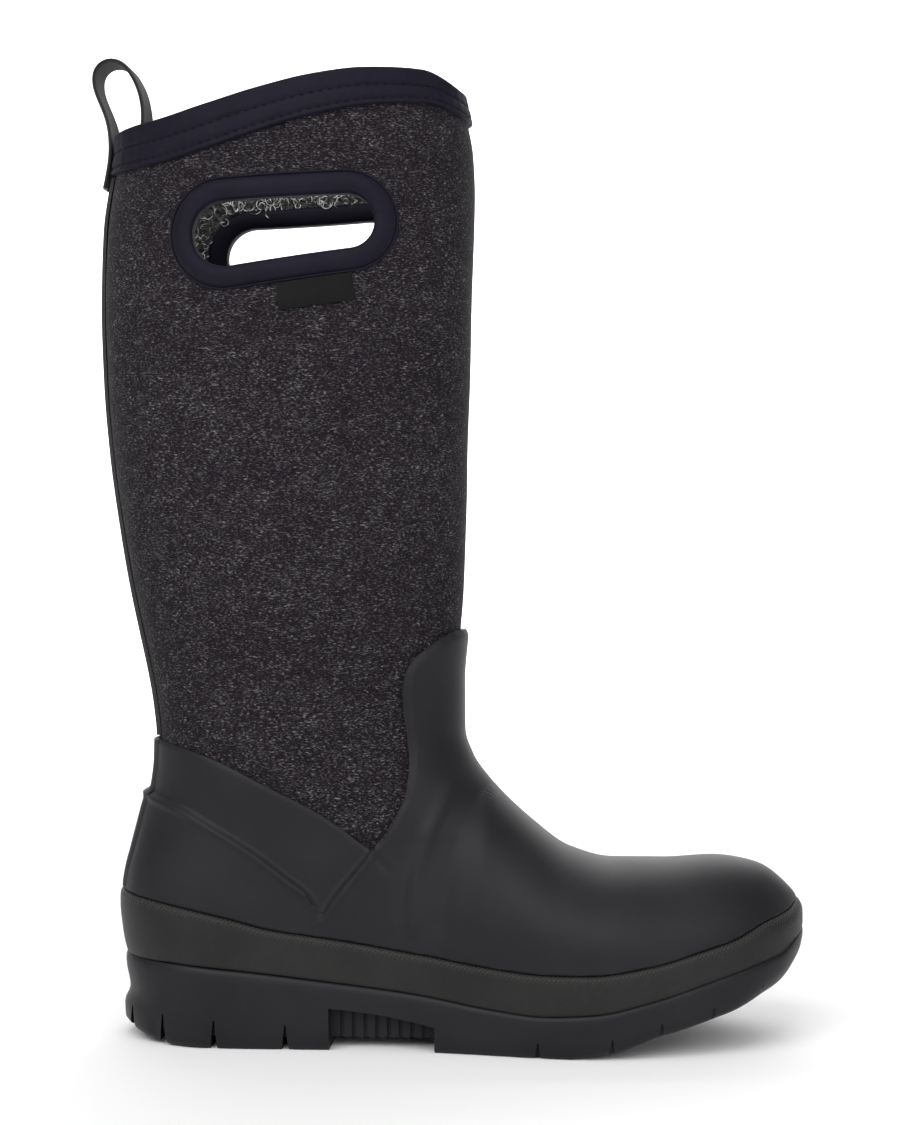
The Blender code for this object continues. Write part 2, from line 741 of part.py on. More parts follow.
INNER_ROWS = [0, 1, 2, 3, 4, 6, 8, 9, 10, 11, 12, 13, 15, 17, 19, 21, 23, 24]


def handle_ends(grow):
    """Centre and radius of the handle's two round ends in side view."""
    ends = []
    for sign, radius in ((-1, HANDLE_BACK_RADIUS), (1, HANDLE_FRONT_RADIUS)):
        x = HANDLE_RUN + sign * HANDLE_SPAN / 2 * cos(HANDLE_TILT)
        z = COLLAR_HEIGHT - HANDLE_DROP + sign * HANDLE_SPAN / 2 * sin(HANDLE_TILT)
        ends.append((x, z, radius + grow))
    return ends


def handle_lean():
    """Angle from the handle's axis to the normal of its straight sides."""
    return acos((HANDLE_BACK_RADIUS - HANDLE_FRONT_RADIUS) / HANDLE_SPAN)


def handle_outline(grow):
    """Egg-shaped handle in side view: two round ends of unlike size and their tangents."""
    ends = handle_ends(grow)
    lean = handle_lean()
    outline = []
    arc_steps = 7
    run_steps = 4
    for which, from_angle, to_angle in ((1, -lean, lean), (0, lean, 2 * pi - lean)):
        x, z, radius = ends[which]
        for i in range(arc_steps + 1):
            angle = HANDLE_TILT + from_angle + (to_angle - from_angle) * i / arc_steps
            outline.append((x + radius * cos(angle), z + radius * sin(angle)))
        next_x, next_z, next_radius = ends[1 - which]
        angle = HANDLE_TILT + to_angle
        start = outline[-1]
        end = (next_x + next_radius * cos(angle), next_z + next_radius * sin(angle))
        for i in range(1, run_steps):
            share = i / run_steps
            outline.append((start[0] + (end[0] - start[0]) * share,
                            start[1] + (end[1] - start[1]) * share))
    return outline


def build_upper():
    outside = [around_bootie(s, 0) for s in range(LAST + 1)]
    inside = [around_bootie(s, -WALL) for s in INNER_ROWS[::-1]]
    outside[0] = seated(outside[0])
    inside[-1] = seated(inside[-1])
    upper = hollow_band("upper", outside + inside, ("knit_faced_foam", FABRIC, 0.95))
    combine(upper, side_prism("handle_hole", handle_outline(0)), "DIFFERENCE")


# Shell, foxing and rubber strip

def around_levels(low, high, count):
    """Ring heights for each column, in equal steps between two lists."""
    levels = []
    for i in range(count + 1):
        levels.append([a + (b - a) * i / count for a, b in zip(low, high)])
    return levels


def build_shell():
    """The raised height all over, then lowered on the ankle band and under the foxing."""
    low = GAP + SHELL_THICK
    heights = range(SHELL_RING + 1)
    outside = [around_bootie(s, low + SHELL_STEP) for s in heights]
    inside = [around_bootie(s, GAP) for s in heights[::-1]]
    outside[0] = seated(outside[0])
    inside[-1] = seated(inside[-1])
    shell = hollow_band("shell", outside + inside, ("shell_rubber", RUBBER, 0.55))

    high = PRISM_REACH + COLLAR_HEIGHT
    band = side_view(BAND_EDGE)
    band = [(-PRISM_REACH, band[0][1])] + band + [(band[-1][0], high), (-PRISM_REACH, high)]
    combine(shell, lowering("ankle_band", band, low, (4, SHELL_RING + 1)), "DIFFERENCE")
    steps = 44
    line = [LENGTH * (i / steps * 1.1 - 0.05) for i in range(steps + 1)]
    foxed = [(x, foxing_top(x) + 2 * GAP) for x in line]
    foxed += [(line[-1], -PRISM_REACH), (line[0], -PRISM_REACH)]
    combine(shell, lowering("foxing_zone", foxed, low, (0, 5)), "DIFFERENCE")

    edge = side_view(SHELL_EDGE)
    above = [(-PRISM_REACH, edge[0][1])] + edge
    above += [(LENGTH, edge[-1][1]), (LENGTH, high), (-PRISM_REACH, high)]
    combine(shell, side_prism("above_shell", above), "DIFFERENCE")


def lowering(name, outline, offset, rows):
    """A cutter for all that stands above the offset inside an outline in side view."""
    heights = range(rows[0], rows[1] + 1)
    outside = [around_bootie(s, offset + 3 * SHELL_STEP) for s in heights]
    inside = [around_bootie(s, offset) for s in heights[::-1]]
    if rows[0] == 0:
        drop = Vector((0, 0, -FOXING_HEIGHT))
        outside.insert(0, [point + drop for point in outside[0]])
        inside.append([point + drop for point in inside[-1]])
    cutter = hollow_band(name, outside + inside)
    combine(cutter, side_prism(name + "_outline", outline), "INTERSECT")
    return cutter


def build_foxing():
    inner = GAP + SHELL_THICK + 2 * GAP
    outer = inner + FOXING_THICK
    tops = [ring_height(j, foxing_top) for j in range(COLUMNS)]
    levels = around_levels([0.0] * COLUMNS, tops, 3)
    outside = [around_facets(heights, outer) for heights in levels]
    outside[-1] = around_facets(levels[-1], outer - FOXING_THICK / 4)
    inside = [around_facets(heights, inner) for heights in levels[::-1]]
    for ring in (outside[-1], inside[0]):
        for point in ring:
            point.z = foxing_top(point.x)
    outside[0] = seated(outside[0], 2 * GAP)
    inside[-1] = seated(inside[-1], 2 * GAP)
    hollow_band("foxing", outside + inside, ("foxing_rubber", BAND_RUBBER, 0.6))


def back_surface(y, z, offset):
    """Point of the back of the bootie at sideways place y and height z, moved out."""
    def depth(y, z):
        side = MEDIAL if y > 0 else LATERAL
        near = heel_back(z)
        far = near + CALF_WIDTH / 2
        for step in range(24):
            x = (near + far) / 2
            if half_width(x, z, side) < abs(y):
                near = x
            else:
                far = x
        return (near + far) / 2

    small = 0.0005
    x = depth(y, z)
    slope_y = (depth(y + small, z) - depth(y - small, z)) / (2 * small)
    slope_z = (depth(y, z + small) - depth(y, z - small)) / (2 * small)
    return Vector((x, y, z)) + Vector((-1, slope_y, slope_z)).normalized() * offset


def across(width):
    steps = 4
    return [width * (i / steps - 0.5) for i in range(steps + 1)]


def back_tape(name, width, thick, stations, finish):
    """A strip up the back; each station is a height and the offset of its inner face."""
    sections = []
    for z, inner in stations:
        section = [back_surface(y, z, inner) for y in across(width)]
        section += [back_surface(y, z, inner + thick) for y in across(width)[::-1]]
        sections.append(section)
    strip(name, sections, finish)


def build_heel_strip():
    low = GAP + SHELL_THICK + GAP
    raised = low + SHELL_STEP
    bottom = foxing_top(0) + 2 * GAP
    step = height_of(BAND_EDGE[0][1]) + 2 * GAP
    top = height_of(SHELL_EDGE[1][1]) - STRIP_HOLD
    spacing = (step - bottom) / 5
    stations = [(bottom + spacing * i, raised) for i in range(6)]
    stations += [(step + SHELL_STEP, low), ((step + top) / 2, low), (top, low)]
    back_tape("heel_strip", HEEL_STRIP_WIDTH, HEEL_STRIP_THICK, stations,
              ("strip_rubber", RUBBER, 0.5))


def collar_low(j):
    """Lower edge of the collar binding's outer leg at column j."""
    return lattice[-1][j].z - BINDING_DEPTH * binding_share(to_front(j))


def build_back_strip():
    bottom = height_of(SHELL_EDGE[1][1]) + 2 * GAP
    top = min(collar_low(j) for j in range(3)) - GAP
    count = 17
    stations = [(bottom + (top - bottom) * i / count, GAP) for i in range(count + 1)]
    back_tape("back_strip", BACK_STRIP_WIDTH, BACK_STRIP_THICK, stations,
              ("webbing", WEBBING, 0.85))


# Collar and handle bindings, loop and tag

def knots_to_collar(low):
    """Ring heights from low to the last ring, in three steps, on whole rings where it can be."""
    knots = [low]
    for share in (1 / 3, 2 / 3):
        knot = low + (LAST - low) * share
        whole = round(knot)
        knots.append(whole if knots[-1] + 0.2 < whole < LAST else knot)
    return knots + [LAST]


def build_collar_binding():
    thick = BINDING_THICK
    outer = GAP + thick
    inner = -WALL - GAP - thick
    crown = GAP + thick
    sections = []
    for j in range(COLUMNS):
        share = binding_share(to_front(j))
        outside = knots_to_collar(ring_height(j, lambda x: collar_low(j)))
        inside = knots_to_collar(
            ring_height(j, lambda x: lattice[-1][j].z - BINDING_INNER_DEPTH * share))
        profile = [(s, outer, 0) for s in outside]
        profile += [
            (LAST, thick * 0.4, crown * 0.85), (LAST, -WALL / 2, crown),
            (LAST, -WALL - thick * 0.4, crown * 0.85),
        ]
        profile += [(s, inner, 0) for s in inside[::-1]]
        profile += [(s, -WALL - GAP, 0) for s in inside[:-1]]
        profile += [(LAST, -WALL - GAP, GAP), (LAST, GAP, GAP)]
        profile += [(s, GAP, 0) for s in outside[-2::-1]]
        sections.append(
            [on_facets(s, j, offset) + Vector((0, 0, up)) for s, offset, up in profile])
    rings = [list(ring) for ring in zip(*sections)]
    hollow_band("collar_binding", rings, ("binding_cloth", BINDING_CLOTH, 0.8))


def on_side(x, z, side, offset):
    """Point over a side of the shaft, in side view at (x, z), offset along its normal."""
    small = 0.0005
    slope_x = (half_width(x + small, z, side) - half_width(x - small, z, side)) / (2 * small)
    slope_z = (half_width(x, z + small, side) - half_width(x, z - small, side)) / (2 * small)
    stretch = sqrt(1 + slope_x ** 2 + slope_z ** 2)
    return Vector((x, middle(x) + side * (half_width(x, z, side) + offset * stretch), z))


def build_handle_bindings():
    pad = HANDLE_PAD
    flange = HANDLE_FLANGE
    inside = -WALL - 2 * GAP
    lip = -GAP - HANDLE_LIP
    profile = [
        (flange, GAP), (flange * 0.7, GAP + pad), (flange * 0.2, GAP + pad), (lip, 0.0),
        (lip, -WALL), (flange * 0.2, inside - pad), (flange * 0.8, inside), (-GAP, inside),
        (-GAP, GAP),
    ]
    loops = [handle_outline(grow) for grow, offset in profile]
    for side, word in ((LATERAL, "lateral"), (MEDIAL, "medial")):
        sections = []
        for i in range(len(loops[0])):
            section = []
            for loop, (grow, offset) in zip(loops, profile):
                section.append(on_side(loop[i][0], loop[i][1], side, offset))
            sections.append(section)
        strip("handle_binding_" + word, sections, ("binding_cloth", BINDING_CLOTH, 0.8), closed=True)


def build_label_tab():
    """A bare tag under the handle, in line with the lower edge of its binding."""
    back, front = handle_ends(0)
    angle = HANDLE_TILT - handle_lean()
    drop = (cos(angle), sin(angle))
    top = HANDLE_FLANGE + GAP
    sections = []
    steps = 5
    for i in range(steps + 1):
        share = TAG_SPAN[0] + (TAG_SPAN[1] - TAG_SPAN[0]) * i / steps
        centre_x = back[0] + (front[0] - back[0]) * share
        centre_z = back[1] + (front[1] - back[1]) * share
        radius = back[2] + (front[2] - back[2]) * share
        section = []
        for reach, offset in ((top + TAG_HEIGHT, GAP), (top, GAP), (top, GAP + TAG_THICK),
                              (top + TAG_HEIGHT, GAP + TAG_THICK)):
            x = centre_x + drop[0] * (radius + reach)
            z = centre_z + drop[1] * (radius + reach)
            section.append(on_side(x, z, LATERAL, offset))
        sections.append(section)
    strip("label_tab", sections, ("tag_cloth", BINDING_CLOTH, 0.7))


def build_pull_loop():
    outer = GAP + BINDING_THICK + 2 * GAP + LOOP_THICK / 2
    inner = -WALL - GAP - BINDING_THICK - 2 * GAP - LOOP_THICK / 2
    rim = COLLAR_HEIGHT * collar_share(0)
    widths = across(LOOP_WIDTH)
    rows = []
    leg_steps = 4
    for i in range(leg_steps):
        z = rim - LOOP_LEG * (1 - i / leg_steps)
        rows.append([back_surface(y, z, outer) for y in widths])
    start = [back_surface(y, rim - BINDING_THICK, outer) for y in widths]
    centre = start[len(start) // 2]
    for forward, rise, curve in LOOP:
        row = []
        for y, edge in zip(widths, start):
            x = centre.x + forward * LOOP_RISE + (edge.x - centre.x) * curve
            row.append(Vector((x, y, rim + rise * LOOP_RISE)))
        rows.append(row)
    inner_steps = 3
    for i in range(inner_steps):
        z = rim - BINDING_THICK - (BINDING_INNER_DEPTH - BINDING_THICK) * i / (inner_steps - 1)
        rows.append([back_surface(y, z, inner) for y in widths])
    sections = []
    mid = len(widths) // 2
    for i, row in enumerate(rows):
        ahead = rows[min(i + 1, len(rows) - 1)][mid]
        behind = rows[max(i - 1, 0)][mid]
        along = (ahead - behind).normalized()
        out = Vector((-along.z, 0, along.x)) * LOOP_THICK / 2
        sections.append([point + out for point in row] + [point - out for point in row[::-1]])
    strip("pull_loop", sections, ("webbing", WEBBING, 0.85))


def main():
    for old in list(bpy.data.objects):
        bpy.data.objects.remove(old, do_unlink=True)
    build_outsole()
    build_insole()
    build_upper()
    build_shell()
    build_foxing()
    build_heel_strip()
    build_back_strip()
    build_collar_binding()
    build_handle_bindings()
    build_label_tab()
    build_pull_loop()


main()
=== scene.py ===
# Wellington boot, right foot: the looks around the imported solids.
# +X is the toe, -Y the outer side. Sizes are in metres unless a name says mm.
from math import acos, cos, pi, radians, sin

import bmesh
import bpy
import numpy as np
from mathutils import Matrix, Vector


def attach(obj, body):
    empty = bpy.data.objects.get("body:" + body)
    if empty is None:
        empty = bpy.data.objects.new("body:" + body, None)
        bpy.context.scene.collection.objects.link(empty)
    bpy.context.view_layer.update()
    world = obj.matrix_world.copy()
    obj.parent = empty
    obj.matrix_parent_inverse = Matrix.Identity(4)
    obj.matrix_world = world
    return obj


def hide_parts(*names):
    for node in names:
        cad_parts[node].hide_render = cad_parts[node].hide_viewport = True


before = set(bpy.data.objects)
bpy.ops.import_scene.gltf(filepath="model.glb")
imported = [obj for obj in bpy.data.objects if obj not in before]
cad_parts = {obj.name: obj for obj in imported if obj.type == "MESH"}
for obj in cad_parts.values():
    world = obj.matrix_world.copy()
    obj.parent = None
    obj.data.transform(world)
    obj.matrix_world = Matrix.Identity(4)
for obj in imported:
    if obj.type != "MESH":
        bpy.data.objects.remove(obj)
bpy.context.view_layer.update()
mm = 0.001
print("frame loaded")


# ---- Finishes: shader sums written as sums

class Wire:
    def __init__(self, tree, socket):
        self.tree, self.socket = tree, socket

    def calc(self, operation, *values):
        node = self.tree.nodes.new("ShaderNodeMath")
        node.operation = operation
        for entry, value in zip(node.inputs, values):
            feed(self.tree, entry, value)
        return Wire(self.tree, node.outputs[0])

    def __add__(self, other):
        return self.calc("ADD", self, other)

    def __sub__(self, other):
        return self.calc("SUBTRACT", self, other)

    def __rsub__(self, other):
        return self.calc("SUBTRACT", other, self)

    def __mul__(self, other):
        return self.calc("MULTIPLY", self, other)

    __radd__ = __add__
    __rmul__ = __mul__


def feed(tree, entry, value):
    if isinstance(value, Wire):
        tree.links.new(value.socket, entry)
    elif hasattr(value, "__len__") and len(value) == 3 and entry.type == "RGBA":
        entry.default_value = (*value, 1.0)
    else:
        entry.default_value = value


class Finish:
    def __init__(self, name, **constants):
        self.material = bpy.data.materials.new(name)
        self.material.use_nodes = True
        self.tree = self.material.node_tree
        self.shader = self.tree.nodes["Principled BSDF"]
        self.set(**constants)

    def set(self, **values):              # baseColor="..." goes into the socket Base Color
        for name, value in values.items():
            words = "".join(" " + c if c.isupper() else c for c in name).title()
            words = {"Ior": "IOR", "Specular Level": "Specular IOR Level"}.get(words, words)
            feed(self.tree, self.shader.inputs[words], value)

    def node(self, kind, settings, sockets, out=0):
        made = self.tree.nodes.new("ShaderNode" + kind)
        for name, value in settings.items():
            setattr(made, name, value)
        for name, value in sockets.items():
            feed(self.tree, made.inputs[name], value)
        return Wire(self.tree, made.outputs[out])

    def place(self, stretch=(1, 1, 1), turn=(0, 0, 0), kind="Object"):
        where = self.node("TexCoord", {}, {}, out=kind)
        return self.node("Mapping", {}, {"Vector": where, "Scale": stretch, "Rotation": turn})

    def noise(self, where, scale, detail=2.0, roughness=0.5, distortion=0.0):
        return self.node("TexNoise", {}, {"Vector": where, "Scale": scale, "Detail": detail,
                                          "Roughness": roughness, "Distortion": distortion})

    def wave(self, where, scale, distortion=0.0, direction="X"):
        return self.node("TexWave", {"bands_direction": direction},
                         {"Vector": where, "Scale": scale, "Distortion": distortion})

    def cells(self, where, scale, feature):
        return self.node("TexVoronoi", {"feature": feature}, {"Vector": where, "Scale": scale})

    def band(self, value, low, high):     # 0 below low, 1 above high, smooth between
        return self.node("MapRange", {"interpolation_type": "SMOOTHSTEP"},
                         {"Value": value, "From Min": low, "From Max": high})

    def mix(self, factor, first, second):
        return self.node("Mix", {"data_type": "RGBA"}, {0: factor, 6: first, 7: second}, out=2)

    def relief(self, height, depth, strength):
        return self.node("Bump", {}, {"Height": height, "Distance": depth, "Strength": strength})


def knitFinish():                          # heathered knit with short pale flecks
    knit = {
        "dark": (0.0046, 0.0030, 0.0049), "mid": (0.0122, 0.0094, 0.0128),
        "fleck": (0.052, 0.048, 0.053), "bright": (0.140, 0.135, 0.139),
    }
    made = Finish("heatheredKnit", roughness=0.92, specularLevel=0.14,
                  sheenWeight=0.04, sheenRoughness=0.40)
    loops = made.noise(made.place((1, 1, 1.4)), 1450, 2.0, 0.6)
    level = made.noise(made.place((1, 1, 2.8)), 720, 1.0, 0.5, 0.3)
    slanted = made.noise(made.place((1, 1, 2.6), (0.35, 0.5, 0.3)), 820, 1.0, 0.5, 0.3)
    patches = made.noise(made.place((1, 1, 1.8)), 120, 3.0, 0.6)
    broad = made.noise(made.place((1, 1, 1.4)), 18, 2.0, 0.5)
    amount = made.band(patches, 0.30, 0.72) * 0.050 + made.band(broad, 0.35, 0.65) * 0.016
    tone = made.mix(made.band(loops + amount, 0.42, 0.68), knit["dark"], knit["mid"])
    flecks = made.band(level + amount, 0.585, 0.680)
    tone = made.mix(flecks * 0.80, tone, knit["fleck"])
    crossed = made.band(slanted + amount, 0.610, 0.705)
    tone = made.mix(crossed * 0.75, tone, knit["fleck"])
    sparks = made.band(level + amount, 0.690, 0.790)
    tone = made.mix(sparks, tone, knit["bright"])
    height = loops * 0.6 + level * 0.6 + slanted * 0.4
    made.set(baseColor=tone, normal=made.relief(height, 0.35 * mm, 0.7))
    return made.material


def liningFinish():                        # curly pile, pale tips over a dark ground
    made = Finish("fleeceLining", roughness=0.95, specularLevel=0.2, sheenWeight=0.25,
                  sheenRoughness=0.5)
    where = made.place()
    curls = made.cells(where, 260, "DISTANCE_TO_EDGE")
    strands = made.noise(where, 520, 3.0, 0.65, 1.4)
    shade = made.band(strands, 0.38, 0.68)
    tone = made.mix(shade, (0.004, 0.004, 0.005), (0.16, 0.16, 0.155))
    made.set(baseColor=tone, normal=made.relief(curls + strands, 1.6 * mm, 0.9))
    return made.material


def curlFinish():
    made = Finish("fleeceCurl", roughness=0.9, specularLevel=0.25, sheenWeight=0.3)
    patches = made.noise(made.place(), 420, 2.0)
    tone = made.mix(made.band(patches, 0.40, 0.62), (0.03, 0.03, 0.032), (0.82, 0.82, 0.80))
    made.set(baseColor=tone)
    return made.material


def bindingFinish():                       # fine dark navy stretch cloth
    made = Finish("navyBinding", roughness=0.72, specularLevel=0.13, sheenWeight=0.03,
                  sheenRoughness=0.35)
    where = made.place()
    soft = made.noise(where, 60, 3.0, 0.6)
    weave = made.noise(where, 2600, 1.0)
    tone = made.mix(made.band(soft, 0.3, 0.7), (0.0044, 0.0034, 0.0092), (0.0072, 0.0058, 0.0140))
    made.set(baseColor=tone, roughness=soft * 0.16 + 0.60,
             normal=made.relief(weave + soft * 2.0, 0.10 * mm, 0.5))
    return made.material


def rubberFinish(name, dark, light, gloss, grain=0.04):
    made = Finish(name, specularLevel=0.21)
    where = made.place()
    soft = made.noise(where, 26, 3.0, 0.55)
    fine = made.noise(where, 1500, 2.0, 0.6)
    specks = made.noise(where, 240, 2.0, 0.7)
    dust = made.band(specks, 0.66, 0.78) * made.band(soft, 0.40, 0.62)
    tone = made.mix(made.band(soft, 0.32, 0.68), dark, light)
    tone = made.mix(dust * 0.07, tone, (0.07, 0.07, 0.07))
    height = fine * grain * 2 + soft * 0.12
    made.set(baseColor=tone, roughness=soft * 0.14 + gloss + dust * 0.1,
             normal=made.relief(height, 0.5 * mm, 0.6))
    return made.material


def knurledFinish():                       # the band's fine diamond knurl, strongest at its top, with a painted highlight: near the top edge the diamonds are coloured lighter
    made = Finish("knurledBand", specularLevel=0.21)
    where = made.place()
    soft = made.noise(where, 26, 3.0, 0.55)
    fine = made.noise(where, 1500, 2.0, 0.6)
    along = made.place(kind="UV")          # u around the boot, v up, 0 at the band's top edge
    left = made.wave(made.node("Mapping", {}, {"Vector": along, "Rotation": (0, 0, radians(40))}), 225)
    right = made.wave(made.node("Mapping", {}, {"Vector": along, "Rotation": (0, 0, radians(-40))}), 225)
    level = made.node("SeparateXYZ", {}, {"Vector": along}, out=1)
    top = made.band(level, -4.5 * mm, -0.4 * mm)
    diamonds = left * 0.3 + left * right * 1.0
    tone = made.mix(made.band(soft, 0.32, 0.68), (0.0105, 0.0108, 0.0103), (0.0150, 0.0153, 0.0146))
    # painted highlight: within about 4.5 mm of the band's top edge the knurl's diamonds are mixed towards a
    # light grey
    tone = made.mix(top * diamonds * 0.75, tone, (0.050, 0.052, 0.048))
    height = diamonds * (top * 0.9 + 0.25) + fine * 0.08
    made.set(baseColor=tone, roughness=soft * 0.14 + 0.44, normal=made.relief(height, 0.30 * mm, 0.9))
    return made.material


def webbingFinish():                       # flat woven tape, ribs across it
    made = Finish("blackWebbing", roughness=0.78, specularLevel=0.3, sheenWeight=0.1)
    along = made.place(kind="UV")
    ribs = made.wave(along, 420, 0.3, "Y")
    cords = made.wave(along, 300, 0.2, "X")
    soft = made.noise(made.place(), 60, 2.0)
    tone = made.mix(ribs * cords, (0.0055, 0.0053, 0.0062), (0.019, 0.0185, 0.0205))
    made.set(baseColor=tone, normal=made.relief(ribs + cords * 0.7 + soft, 0.22 * mm, 0.8))
    return made.material


def clothFinish(name, dark, light, roughness=0.8):
    made = Finish(name, specularLevel=0.16)
    where = made.place()
    weave = made.wave(where, 900, 0.4, "X") * made.wave(where, 900, 0.4, "Z")
    soft = made.noise(where, 90, 3.0)
    tone = made.mix(made.band(soft, 0.3, 0.7), dark, light)
    made.set(baseColor=tone, roughness=soft * 0.1 + roughness - 0.05,
             normal=made.relief(weave + soft, 0.12 * mm, 0.6))
    return made.material


finishes = {
    "knit": knitFinish(),
    "lining": liningFinish(),
    "curl": curlFinish(),
    "binding": bindingFinish(),
    "shell": rubberFinish("matteShellRubber", (0.0082, 0.0074, 0.0094), (0.0118, 0.0108, 0.0134), 0.47),
    "band": knurledFinish(),
    "sole": rubberFinish("soleRubber", (0.0072, 0.0066, 0.0086), (0.0104, 0.0098, 0.0124), 0.42, 0.05),
    "webbing": webbingFinish(),
    "thread": clothFinish("darkThread", (0.0015, 0.0014, 0.0022), (0.0030, 0.0028, 0.0040), 0.8),
    "tag": clothFinish("tagCloth", (0.0040, 0.0038, 0.0042), (0.0064, 0.0062, 0.0068), 0.80),
    "footbed": clothFinish("footbedCloth", (0.050, 0.050, 0.054), (0.085, 0.085, 0.090), 0.9),
}
print("finishes made")


# ---- The last: the same sizes and side view as the solids

last = {
    "length": 0.288, "collarHeight": 0.4025, "instepHeight": 0.120, "soleHeight": 0.0355,
    "ballWidth": 0.0935, "heelWidth": 0.071, "calfWidth": 0.102,
    "toeSpring": 0.033, "heelBevel": 0.0045, "toeSwing": 0.005,
    "gap": 0.0003, "wall": 0.005, "bindingThick": 0.0020,
    "seatRun": 0.204,                      # heel lug over the origin, share of length
    "firstRing": (0.977, 0.0236),
    # frontRun, frontRise, backRun, backRise
    "rings": [
        (0.98, 0.421, 0.0186, 0.34), (0.9785, 0.467, 0.0148, 0.4),
        (0.961, 0.521, 0.0124, 0.46), (0.925, 0.5775, 0.0132, 0.52),
        (0.868, 0.598, 0.017, 0.58), (0.795, 0.5867, 0.0234, 0.64),
        (0.719, 0.5875, 0.0309, 0.71), (0.6545, 0.626, 0.0395, 0.79),
        (0.593, 0.731, 0.0497, 0.88), (0.5365, 0.863, 0.0537, 0.965),
        (0.5045, 0.971, 0.0543, 1.0198), (0.492, 1.0317, 0.0501, 1.0644),
        (0.4915, 1.1027, 0.0413, 1.117), (0.4965, 1.1699, 0.0285, 1.177),
        (0.502, 1.2408, 0.0139, 1.2478), (0.505, 1.336, -0.0007, 1.336),
        (0.507, 1.4421, -0.0149, 1.4421), (0.511, 1.5491, -0.0236, 1.5491),
        (0.5145, 1.6621, -0.0271, 1.6621), (0.517, 1.7721, -0.0243, 1.7721),
        (0.518, 1.8355, -0.018, 1.8246), (0.516, 1.8881, -0.0115, 1.8603),
        (0.509, 1.9307, -0.0076, 1.8871),
    ],
    "lastRing": (0.499, -0.0066),
    "toeRings": 1, "instepRings": (9, 10), "shaftRing": 13, "endCrowding": 0.60,
    # run, rise of soleHeight
    "soleLine": [
        (0.000, 1.000), (0.060, 0.985), (0.190, 0.904), (0.330, 0.778), (0.450, 0.662),
        (0.550, 0.535), (0.620, 0.484), (0.690, 0.513), (0.775, 0.659), (0.845, 0.831),
        (0.920, 1.008), (0.963, 1.110), (0.986, 1.248), (1.000, 1.330),
    ],
    "springLine": [
        (0.660, 0.00), (0.727, 0.095), (0.783, 0.270), (0.820, 0.355), (0.860, 0.460),
        (0.892, 0.545), (0.930, 0.665), (0.960, 0.750), (0.990, 0.935),
    ],
    "bevelRuns": (0.017, 0.146),
    "collarLine": [
        (0.00, 0.9441), (0.15, 0.9491), (0.30, 0.9615), (0.45, 0.9764), (0.60, 0.9896),
        (0.75, 0.9978), (0.90, 1.0000), (1.00, 0.9863),
    ],
    # run, heel share, lateral and medial ball shares
    "plan": [
        (0.000, 0.50, 0.000, 0.000), (0.250, 0.50, 0.000, 0.000), (0.350, 0.36, 0.102, 0.080),
        (0.450, 0.18, 0.259, 0.205), (0.550, 0.05, 0.411, 0.347), (0.640, 0.00, 0.503, 0.449),
        (0.710, 0.00, 0.519, 0.481), (0.790, 0.00, 0.505, 0.490), (1.000, 0.00, 0.480, 0.490),
    ],
    "widest": [
        (0.00, 0.383), (0.30, 0.367), (0.55, 0.333), (0.70, 0.317), (0.85, 0.333),
        (0.95, 0.358), (1.00, 0.375),
    ],
    "footShelf": 0.875, "heelRound": 0.140, "toeRound": 0.280, "roundPower": 2.2,
    "domePower": 2.3, "tuck": 0.10, "blendPower": 8,
    # rise, half width, rounding at the back and at the front
    "shaft": [
        (0.25, 0.235, 0.25, 0.38), (0.417, 0.265, 0.26, 0.38), (0.667, 0.328, 0.28, 0.4),
        (0.917, 0.368, 0.4, 0.46), (1.0704, 0.378, 0.48, 0.51), (1.1774, 0.402, 0.49, 0.51),
        (1.2835, 0.431, 0.49, 0.51), (1.4599, 0.471, 0.49, 0.51), (1.6373, 0.495, 0.49, 0.51),
        (1.779, 0.5, 0.49, 0.51), (1.9912, 0.485, 0.49, 0.51),
    ],
}
length, gap, wall = last["length"], last["gap"], last["wall"]
lateral, medial = -1, 1


def curve(points, column=1):               # smooth, and never swings past its points
    xs = np.array([point[0] for point in points], float)
    ys = np.array([point[column] for point in points], float)
    slope = np.diff(ys) / np.diff(xs)
    inner = [2 * a * b / (a + b) if a * b > 0 else 0.0 for a, b in zip(slope, slope[1:])]
    tangent = np.array([slope[0], *inner, slope[-1]])

    def at(value):
        held = np.clip(value, xs[0], xs[-1])
        i = np.clip(np.searchsorted(xs, held, side="right") - 1, 0, len(slope) - 1)
        step = xs[i + 1] - xs[i]
        u = (held - xs[i]) / step
        base = ys[i] + (ys[i + 1] - ys[i]) * (3 - 2 * u) * u * u
        base = base + u * (1 - u) ** 2 * step * tangent[i] + u * u * (u - 1) * step * tangent[i + 1]
        return base + np.where(value < xs[0], tangent[0], tangent[-1]) * (value - held)
    return at


def ease(value):
    value = np.clip(value, 0, 1)
    return value * value * (3 - 2 * value)


def roundEnd(share, power):
    return (1 - (1 - np.clip(share, 0, 1)) ** power) ** (1 / power)


def heightOf(rise):
    above = last["collarHeight"] - last["instepHeight"]
    return last["instepHeight"] * np.minimum(rise, 1) + above * np.maximum(np.subtract(rise, 1), 0)


def riseOf(height):
    foot = last["instepHeight"]
    return np.where(height <= foot, height / foot, 1 + (height - foot) / (last["collarHeight"] - foot))


soleCurve, springCurve = curve(last["soleLine"]), curve(last["springLine"])
collarCurve, widestCurve = curve(last["collarLine"]), curve(last["widest"])
heelPart = curve(last["plan"], 1)
ballPart = {lateral: curve(last["plan"], 2), medial: curve(last["plan"], 3)}
shaftHalf, shaftBack, shaftFront = [curve(last["shaft"], column) for column in (1, 2, 3)]


def soleTop(x):
    return last["soleHeight"] * soleCurve(x / length)


def ground(x):
    run = x / length
    start, end = last["bevelRuns"]
    heel = last["heelBevel"] * np.clip((end - run) / (end - start), 0, 1) ** 2
    return heel + last["toeSpring"] * np.maximum(springCurve(np.maximum(run, 0.66)), 0)


def wallTop(share):
    return last["collarHeight"] * collarCurve(share) - last["bindingThick"] - gap


